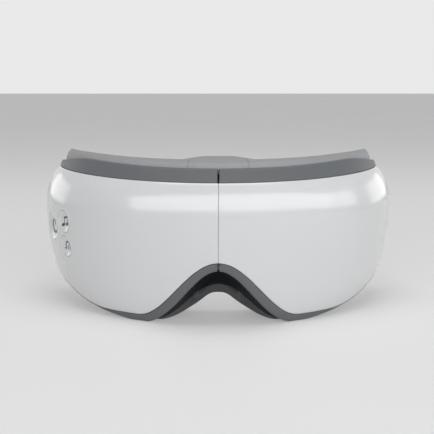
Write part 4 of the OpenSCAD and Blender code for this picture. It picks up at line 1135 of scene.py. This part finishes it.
def black_oxide(start):
    """Blackened steel, with a faint mottle where the oil dried."""
    mottle = start.texture("Noise", 300.0, Detail=3.0)
    return mottle.look(grey(0.02), grey(0.045), 0.3, 0.2, Metallic=1.0)


dress(satin, "arm_cap_right", "arm_cap_left")
dress(finish("blackened_screws", black_oxide), "case_screws_right", "case_screws_left")

# Hinge. A small butt hinge under the soft skin: two pressed leaves, a pin and countersunk screws, all
# of bare steel that was brushed along the fold.


def brushed_steel(start):
    """Fine upright scratches, made by noise that is stretched along the height."""
    where = start.node("Mapping", Vector=start.node("TexCoord", out=3), Scale=(2600.0, 2600.0, 60.0))
    scratches = start.node("TexNoise", Vector=where, Scale=1.0, Detail=2.0)
    return scratches.look(grey(0.42), grey(0.60), 0.24, 0.2, (0.15, 0.0001), Metallic=1.0)


steel = finish("brushed_steel", brushed_steel)
dress(steel, "hinge_leaf_right", "hinge_leaf_left", "hinge_pin", "hinge_screws_right",
      "hinge_screws_left", "strap_bar_right", "strap_bar_left")

# Works inside the bays. Motors, pump, valve, boards, battery, speakers and switches, all as drawn. They
# are out of sight, so each keeps the drawing's solid and gets the finish of the real one.


def black_plastic(start):
    """Matte black moulding with a fine grain."""
    grain = start.texture("Noise", 1500.0, Detail=2.0).bump(0.15, 0.0002)
    return start.texture("Noise", 60.0).look(grey(0.012), grey(0.022), 0.5, 0.15, Normal=grain)


def turned_metal(low, high):
    """Nickel-plated cans and shafts between two levels, with a little cloudiness."""
    def pattern(start):
        cloud = start.texture("Noise", 170.0, Detail=4.0)
        return cloud.look(low, high, 0.22, 0.25, Metallic=1.0)
    return pattern


def board_green(start):
    """Solder mask over copper tracks, which show as paler lines between bricks."""
    cells = start.texture("Brick", 260.0, {"offset": 0.5}, out=1)
    return cells.look((0.01, 0.075, 0.03, 1), (0.02, 0.14, 0.055, 1), 0.3, 0.1)


def amber_film(start):
    """Clear amber film with printed carbon tracks that run to and fro across it."""
    tracks = start.texture("Wave", 80.0, {"bands_direction": "Z"}, out=1)
    return {"Base_Color": (tracks > 0.6).shade((0.46, 0.19, 0.03, 1), (0.06, 0.035, 0.02, 1)),
            "Roughness": 0.3}


def foil_pouch(start):
    """The battery's drawn aluminium foil, lightly crumpled."""
    folds = start.texture("Noise", 240.0, Detail=5.0)
    return folds.look((0.40, 0.43, 0.47, 1), (0.55, 0.58, 0.62, 1), 0.3, 0.2, (0.5, 0.0004),
                      Metallic=0.9)


plated = turned_metal(grey(0.45), grey(0.6))
brass = turned_metal((0.45, 0.30, 0.12, 1), (0.6, 0.42, 0.18, 1))
pump_can = turned_metal((0.30, 0.32, 0.35, 1), (0.38, 0.40, 0.43, 1))
dress(finish("matte_black_plastic", black_plastic), "centre_wall_right", "centre_wall_left",
      "speaker_right", "speaker_left", "switch_carrier", "tact_switches", "air_valve")
dress(finish("plated_metal", plated), "vibration_motor_right", "vibration_motor_left", "pump_rotor",
      "valve_plunger", "charging_socket")
dress(finish("brass", brass), "eccentric_weight_right", "eccentric_weight_left")
dress(finish("pump_can", pump_can), "air_pump")
dress(finish("green_board", board_green), "main_board", "charging_board")
dress(finish("amber_film", amber_film), "button_flex", "heating_film_right", "heating_film_left")
dress(finish("foil_pouch", foil_pouch), "battery")

# Air hoses and loom. Milky silicone tubes, 3 mm thick, run from the pump by the valve to each air cell.
# Between the halves they are one soft loom.

pump_at, pump_z, pump_r, spout_l, pump_head = 51.5, 58.0, 5.5, 3.2, 12.0
valve_at, valve_z, valve_w, valve_h, hose_ease = 48.5, 32.5, 8.0, 12.0, 0.05


def through_points(points, steps=8):
    """A smooth path through chosen points, each stretch a cubic with its neighbours' slopes."""
    q = np.array([points[0], *points, points[-1]], float)
    t = np.linspace(0, 1, steps, endpoint=False)[None, :, None]
    a, b, c, d = (q[i:len(q) - 3 + i, None] for i in range(4))
    curve = b + 0.5 * t * ((c - a) + t * (2 * a - 5 * b + 4 * c - d + t * (3 * b - a - 3 * c + d)))
    return np.concatenate([curve.reshape(-1, 3), q[-1:]])


def milky_silicone(start):
    """Translucent tube: soft shine, with a faint drift in its cloudiness."""
    cloud = start.texture("Noise", 120.0, Detail=3.0)
    return cloud.look((0.52, 0.52, 0.50, 1), (0.64, 0.64, 0.62, 1), 0.32, 0.1,
                      Subsurface_Weight=0.2, Subsurface_Radius=(0.002, 0.002, 0.002))


silicone = finish("milky_silicone", milky_silicone)
pump_d, valve_d = bay(pump_at) - soft_gap - pump_r, bay(valve_at) - soft_gap - valve_w / 2
spout = (place(pump_at, pump_d, pump_z - pump_r + 0.8 - spout_l)
         + (pump_head - 4) * along_wrap(pump_at))
valve_top = place(valve_at, valve_d, valve_z + valve_h + spout_l + hose_r + 0.2)


def route(*stops):
    """Places on a hose's way: each stop is an angle along the wrap, a depth and a height."""
    return [place(*stop) for stop in stops]


right_way = [
    spout, spout - [0, 0, 1.0], spout - [0, 0, 2.5], *route((53.5, 11.8, 46.8), (51.0, 12.4, 48.4)),
    valve_top, *route((45, 12.6, 48.6), (42.6, 12.5, 45), (42.2, 12.5, 39), (39, 12.5, 35),
                      (34, 12.7, 33.4), (27.5, 14.5, 33.2))]
left_way = mirrored(route(
    (27.5, 14.5, 33.2), (22, 12.5, 34), (14, 12.5, cross_z - 3.1), (9.5, 13, cross_z - 1.7),
    (6.6, 15, cross_z), (6.6, 17.5, cross_z)))
half_loom = route((6.6, 18.5, cross_z), (6.6, 21.5, cross_z), (5.5, 26, loom_z + 0.6),
                  (2.5, 30.2, loom_z + 0.2), (0, hinge_back, loom_z))
loom_way = half_loom + list(mirrored(half_loom[-2::-1]))


def hose(name, way, body, node):
    """A silicone hose along those points, a hair thinner than the room that the drawing gives it."""
    shape = tube(through_points(way), hose_r - hose_ease)
    return make(name, *shape, silicone, "hose", body, [node])


hose("hose_right", right_way, "right_half", "air_hose_right")
hose("hose_left", left_way, "left_half", "air_hose_left")
loom = hose("fold_loom", loom_way, None, "hinge_loom")
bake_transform(loom)

# Air cells. A flat bag of welded film lies in the hollow behind each pad, against the deck. It swells
# between its welded edges and presses the pad towards the eye.

cell_angles = np.linspace(cell_from, cell_to, 57)


def cell_section(p):
    """Flat against the deck, crowned towards the pad, and thinner towards both ends."""
    along = 2 * (p - cell_from) / (cell_to - cell_from) - 1
    fat = cell_t * (0.2 + 0.78 * np.sqrt(np.clip(1 - along ** 4, 0, 1)))
    d, z0, z1 = deck(p) + soft_gap, cell_low + 2, cell_high - 2
    return rounded(corners_of(
        (d, z1 - 2), (d, z0 + 2), (d + 0.4 * fat, z0), (d + 0.8 * fat, z0 + 5), (d + fat, z0 + 12),
        (d + fat, z1 - 12), (d + 0.8 * fat, z1 - 5), (d + 0.4 * fat, z1)), [1, 1, 1, 3, 4, 4, 3, 1], 4)


def welded_film(start):
    """Milky film with faint wrinkles."""
    wrinkles = start.texture("Noise", 150.0, Detail=4.0)
    return wrinkles.look((0.55, 0.55, 0.53, 1), (0.68, 0.68, 0.66, 1), 0.25, 0.15, (0.3, 0.0005))


film = finish("welded_film", welded_film)
cell_points, cell_faces = swept(cell_angles, cell_section(cell_angles))
for cell in make_pair("air_bag", cell_points, cell_faces, film, "air_cell", "air_cell", sharp=60):
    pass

# Elastic head band. Ribbed grey elastic, 24 mm wide and 1.4 mm thick. Each end is sewn in a loop round
# a bar in the arm, leaves by the cap's slit and runs round the back of the head.

strap_w, strap_t, bar_at, bar_d, bar_r, rib_pitch = 24.0, 1.4, 88.5, 7.5, 1.5, 1.6
band_at_d = bar_d + bar_r + 0.2 + strap_t / 2
strap_z = float(shell_top(arm_end) + shell_low(arm_end)) / 2
strap_in, strap_out = place(bar_at, band_at_d, 0)[:2], place(arm_end, band_at_d, 0)[:2]
strap_way = (strap_out - strap_in) / np.linalg.norm(strap_out - strap_in)
strap_back = np.array([0, depth_all / 2 - strap_t / 2])
strap_split, strap_pull, strap_bulge, bar_wrap, rubber_pitch = 50.0, 0.5, 56, 318, 0.9


def strap_run(t):
    """The band's middle line from the cap round to the back of the head, as one cubic Bezier curve."""
    t = np.asarray(t, float)[..., None]
    a, b = strap_out, strap_out + strap_pull * strap_loop * strap_way
    c, d = strap_back + [strap_bulge, 0], strap_back
    return (1 - t) ** 3 * a + 3 * (1 - t) ** 2 * t * b + 3 * (1 - t) * t ** 2 * c + t ** 3 * d


def even(path, step):
    """The same plan path at even steps of that length, and the distance along it at each."""
    along = np.concatenate([[0], np.cumsum(np.linalg.norm(np.diff(path, axis=0), axis=1))])
    at = np.linspace(0, along[-1], int(along[-1] / step) + 1)
    return np.stack([np.interp(at, along, path[:, i]) for i in (0, 1)], -1), at


def band_solid(path, along, first, last, thick=strap_t, wide=strap_w, rib=0.13, off=0.0, columns=36):
    """A strip round that stretch of a plan path, with crosswise ribs and thin plain edges.

    A section is a rounded box: its half sizes go with about the third root of cosine and sine."""
    way = np.gradient(path, axis=0)
    way /= np.linalg.norm(way, axis=1, keepdims=True)
    keep = (along >= first) & (along <= last)
    path, way, along = path[keep], way[keep], along[keep]
    turn = np.linspace(0, 2 * np.pi, columns, endpoint=False)[None, :]
    z = np.sign(np.cos(turn)) * np.abs(np.cos(turn)) ** 0.35 * wide / 2
    lie = np.sign(np.sin(turn)) * np.abs(np.sin(turn)) ** 0.3 * thick / 2
    inner = smooth(wide / 2 - np.abs(z), 0.6, 1.6)
    ribs = 1 - rib * inner * (1 - np.abs(np.sin(np.pi * along / rib_pitch))[:, None])
    normal = np.stack([-way[:, 1], way[:, 0]], -1)
    flat = path[:, None] + normal[:, None] * (off + lie * ribs)[..., None]
    points = np.concatenate([flat, np.broadcast_to(strap_z + z, flat.shape[:2])[..., None]], -1)
    return points.reshape(-1, 3), capped(len(path), columns)


def unrolled(path, along):
    """Millimetres along and across the band for points near it, from the nearest step of its path."""
    def flat(points):
        blocks = np.array_split(points[:, None, :2], len(points) // 256 + 1)
        near = np.concatenate([((path - block) ** 2).sum(-1).argmin(1) for block in blocks])
        return np.stack([along[near], points[:, 2]], -1)
    return flat


def ribbed_elastic(start):
    """Knitted elastic: crosswise ribs crossed by fine rubber threads, drawn in millimetres."""
    along = start.node("SeparateXYZ", Vector=start.node("TexCoord", out=2))
    across = along.also(1)
    ribs = along.math("SINE", along * (math.pi / rib_pitch)).size()
    threads = across.math("SINE", across * (2 * math.pi / rubber_pitch)) * 0.5 + 0.5
    fluff = start.texture("Noise", 900.0, Detail=3.0)
    shade = (ribs * 0.45 + threads * 0.3 + fluff * 0.35).held()
    return {
        "Base_Color": shade.shade((0.065, 0.068, 0.074, 1), (0.150, 0.155, 0.165, 1)),
        "Roughness": 0.78 + 0.1 * fluff,
        "Sheen_Weight": 0.25,
        "Normal": (ribs * 0.5 + threads * 0.4 + fluff * 0.3).bump(0.6, 0.0003),
    }


elastic = finish("ribbed_elastic", ribbed_elastic)
bar_plan = place(bar_at, bar_d, 0)[:2]
ring_r = bar_r + 0.2 + strap_t / 2
across_bar = (strap_in - bar_plan) / np.linalg.norm(strap_in - bar_plan)
along_bar = np.array([across_bar[1], -across_bar[0]])
along_bar = along_bar * np.sign(along_bar @ strap_way)
bar_turn = np.radians(np.linspace(-bar_wrap, 0, 60))[:, None]
bar_ring = bar_plan + ring_r * (np.cos(bar_turn) * across_bar + np.sin(bar_turn) * along_bar)
half_path = np.concatenate([bar_ring, strap_run(np.linspace(0, 1, 400))])
strap_path, strap_along = even(np.concatenate([half_path, half_path[-2::-1] * [-1, 1]]), rib_pitch / 6)
strap_total = strap_along[-1]
past_bar = strap_path[:, 1] > strap_out[1] + 5
split_at = strap_along[past_bar & (strap_path[:, 0] > strap_split)][-1]
for label, first, last, start_x, end_x in (
        ("head_band_right", 0, split_at, 0.097, -0.0244),
        ("head_band_back", split_at, strap_total - split_at, 0.221, -0.221),
        ("head_band_left", strap_total - split_at, strap_total, 0.0244, -0.097)):
    strap = make(label, *band_solid(strap_path, strap_along, first, last), elastic, "strap", None,
                 ["head_strap"], sharp=50, uv=unrolled(strap_path, strap_along))
    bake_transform(strap)

# Hook tab. A stiff grey tab of hook tape lies on the outside of the band. It shortens the band when it
# is pulled off and pressed on further round.

tab_t, tab_gap, tab_l, tab_start, tab_guess = 1.2, 0.2, 34.0, 0.2, 0.45


def hook_tape(start):
    """Woven tape, dull and even, with the small hooks showing as fine dots."""
    dots = start.texture("Voronoi", 1300.0, {"feature": "F1"})
    return dots.look((0.030, 0.032, 0.036, 1), (0.065, 0.068, 0.074, 1), 0.7, 0.15, (0.5, 0.0003))


guess_l = np.linalg.norm(strap_run(tab_guess) - strap_run(tab_start))
tab_reach = tab_l / guess_l * (tab_guess - tab_start)
tab_path, tab_along = even(strap_run(np.linspace(tab_start, tab_start + tab_reach, 80)), 0.7)
tab_solid = band_solid(tab_path, tab_along, 0, tab_along[-1], thick=tab_t, wide=strap_w - 2, rib=0.0,
                       off=-(strap_t + tab_t) / 2 - tab_gap)
tab = make("hook_tab", *tab_solid, finish("hook_tape", hook_tape), "strap", None, ["strap_tab"],
           sharp=50)
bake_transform(tab)
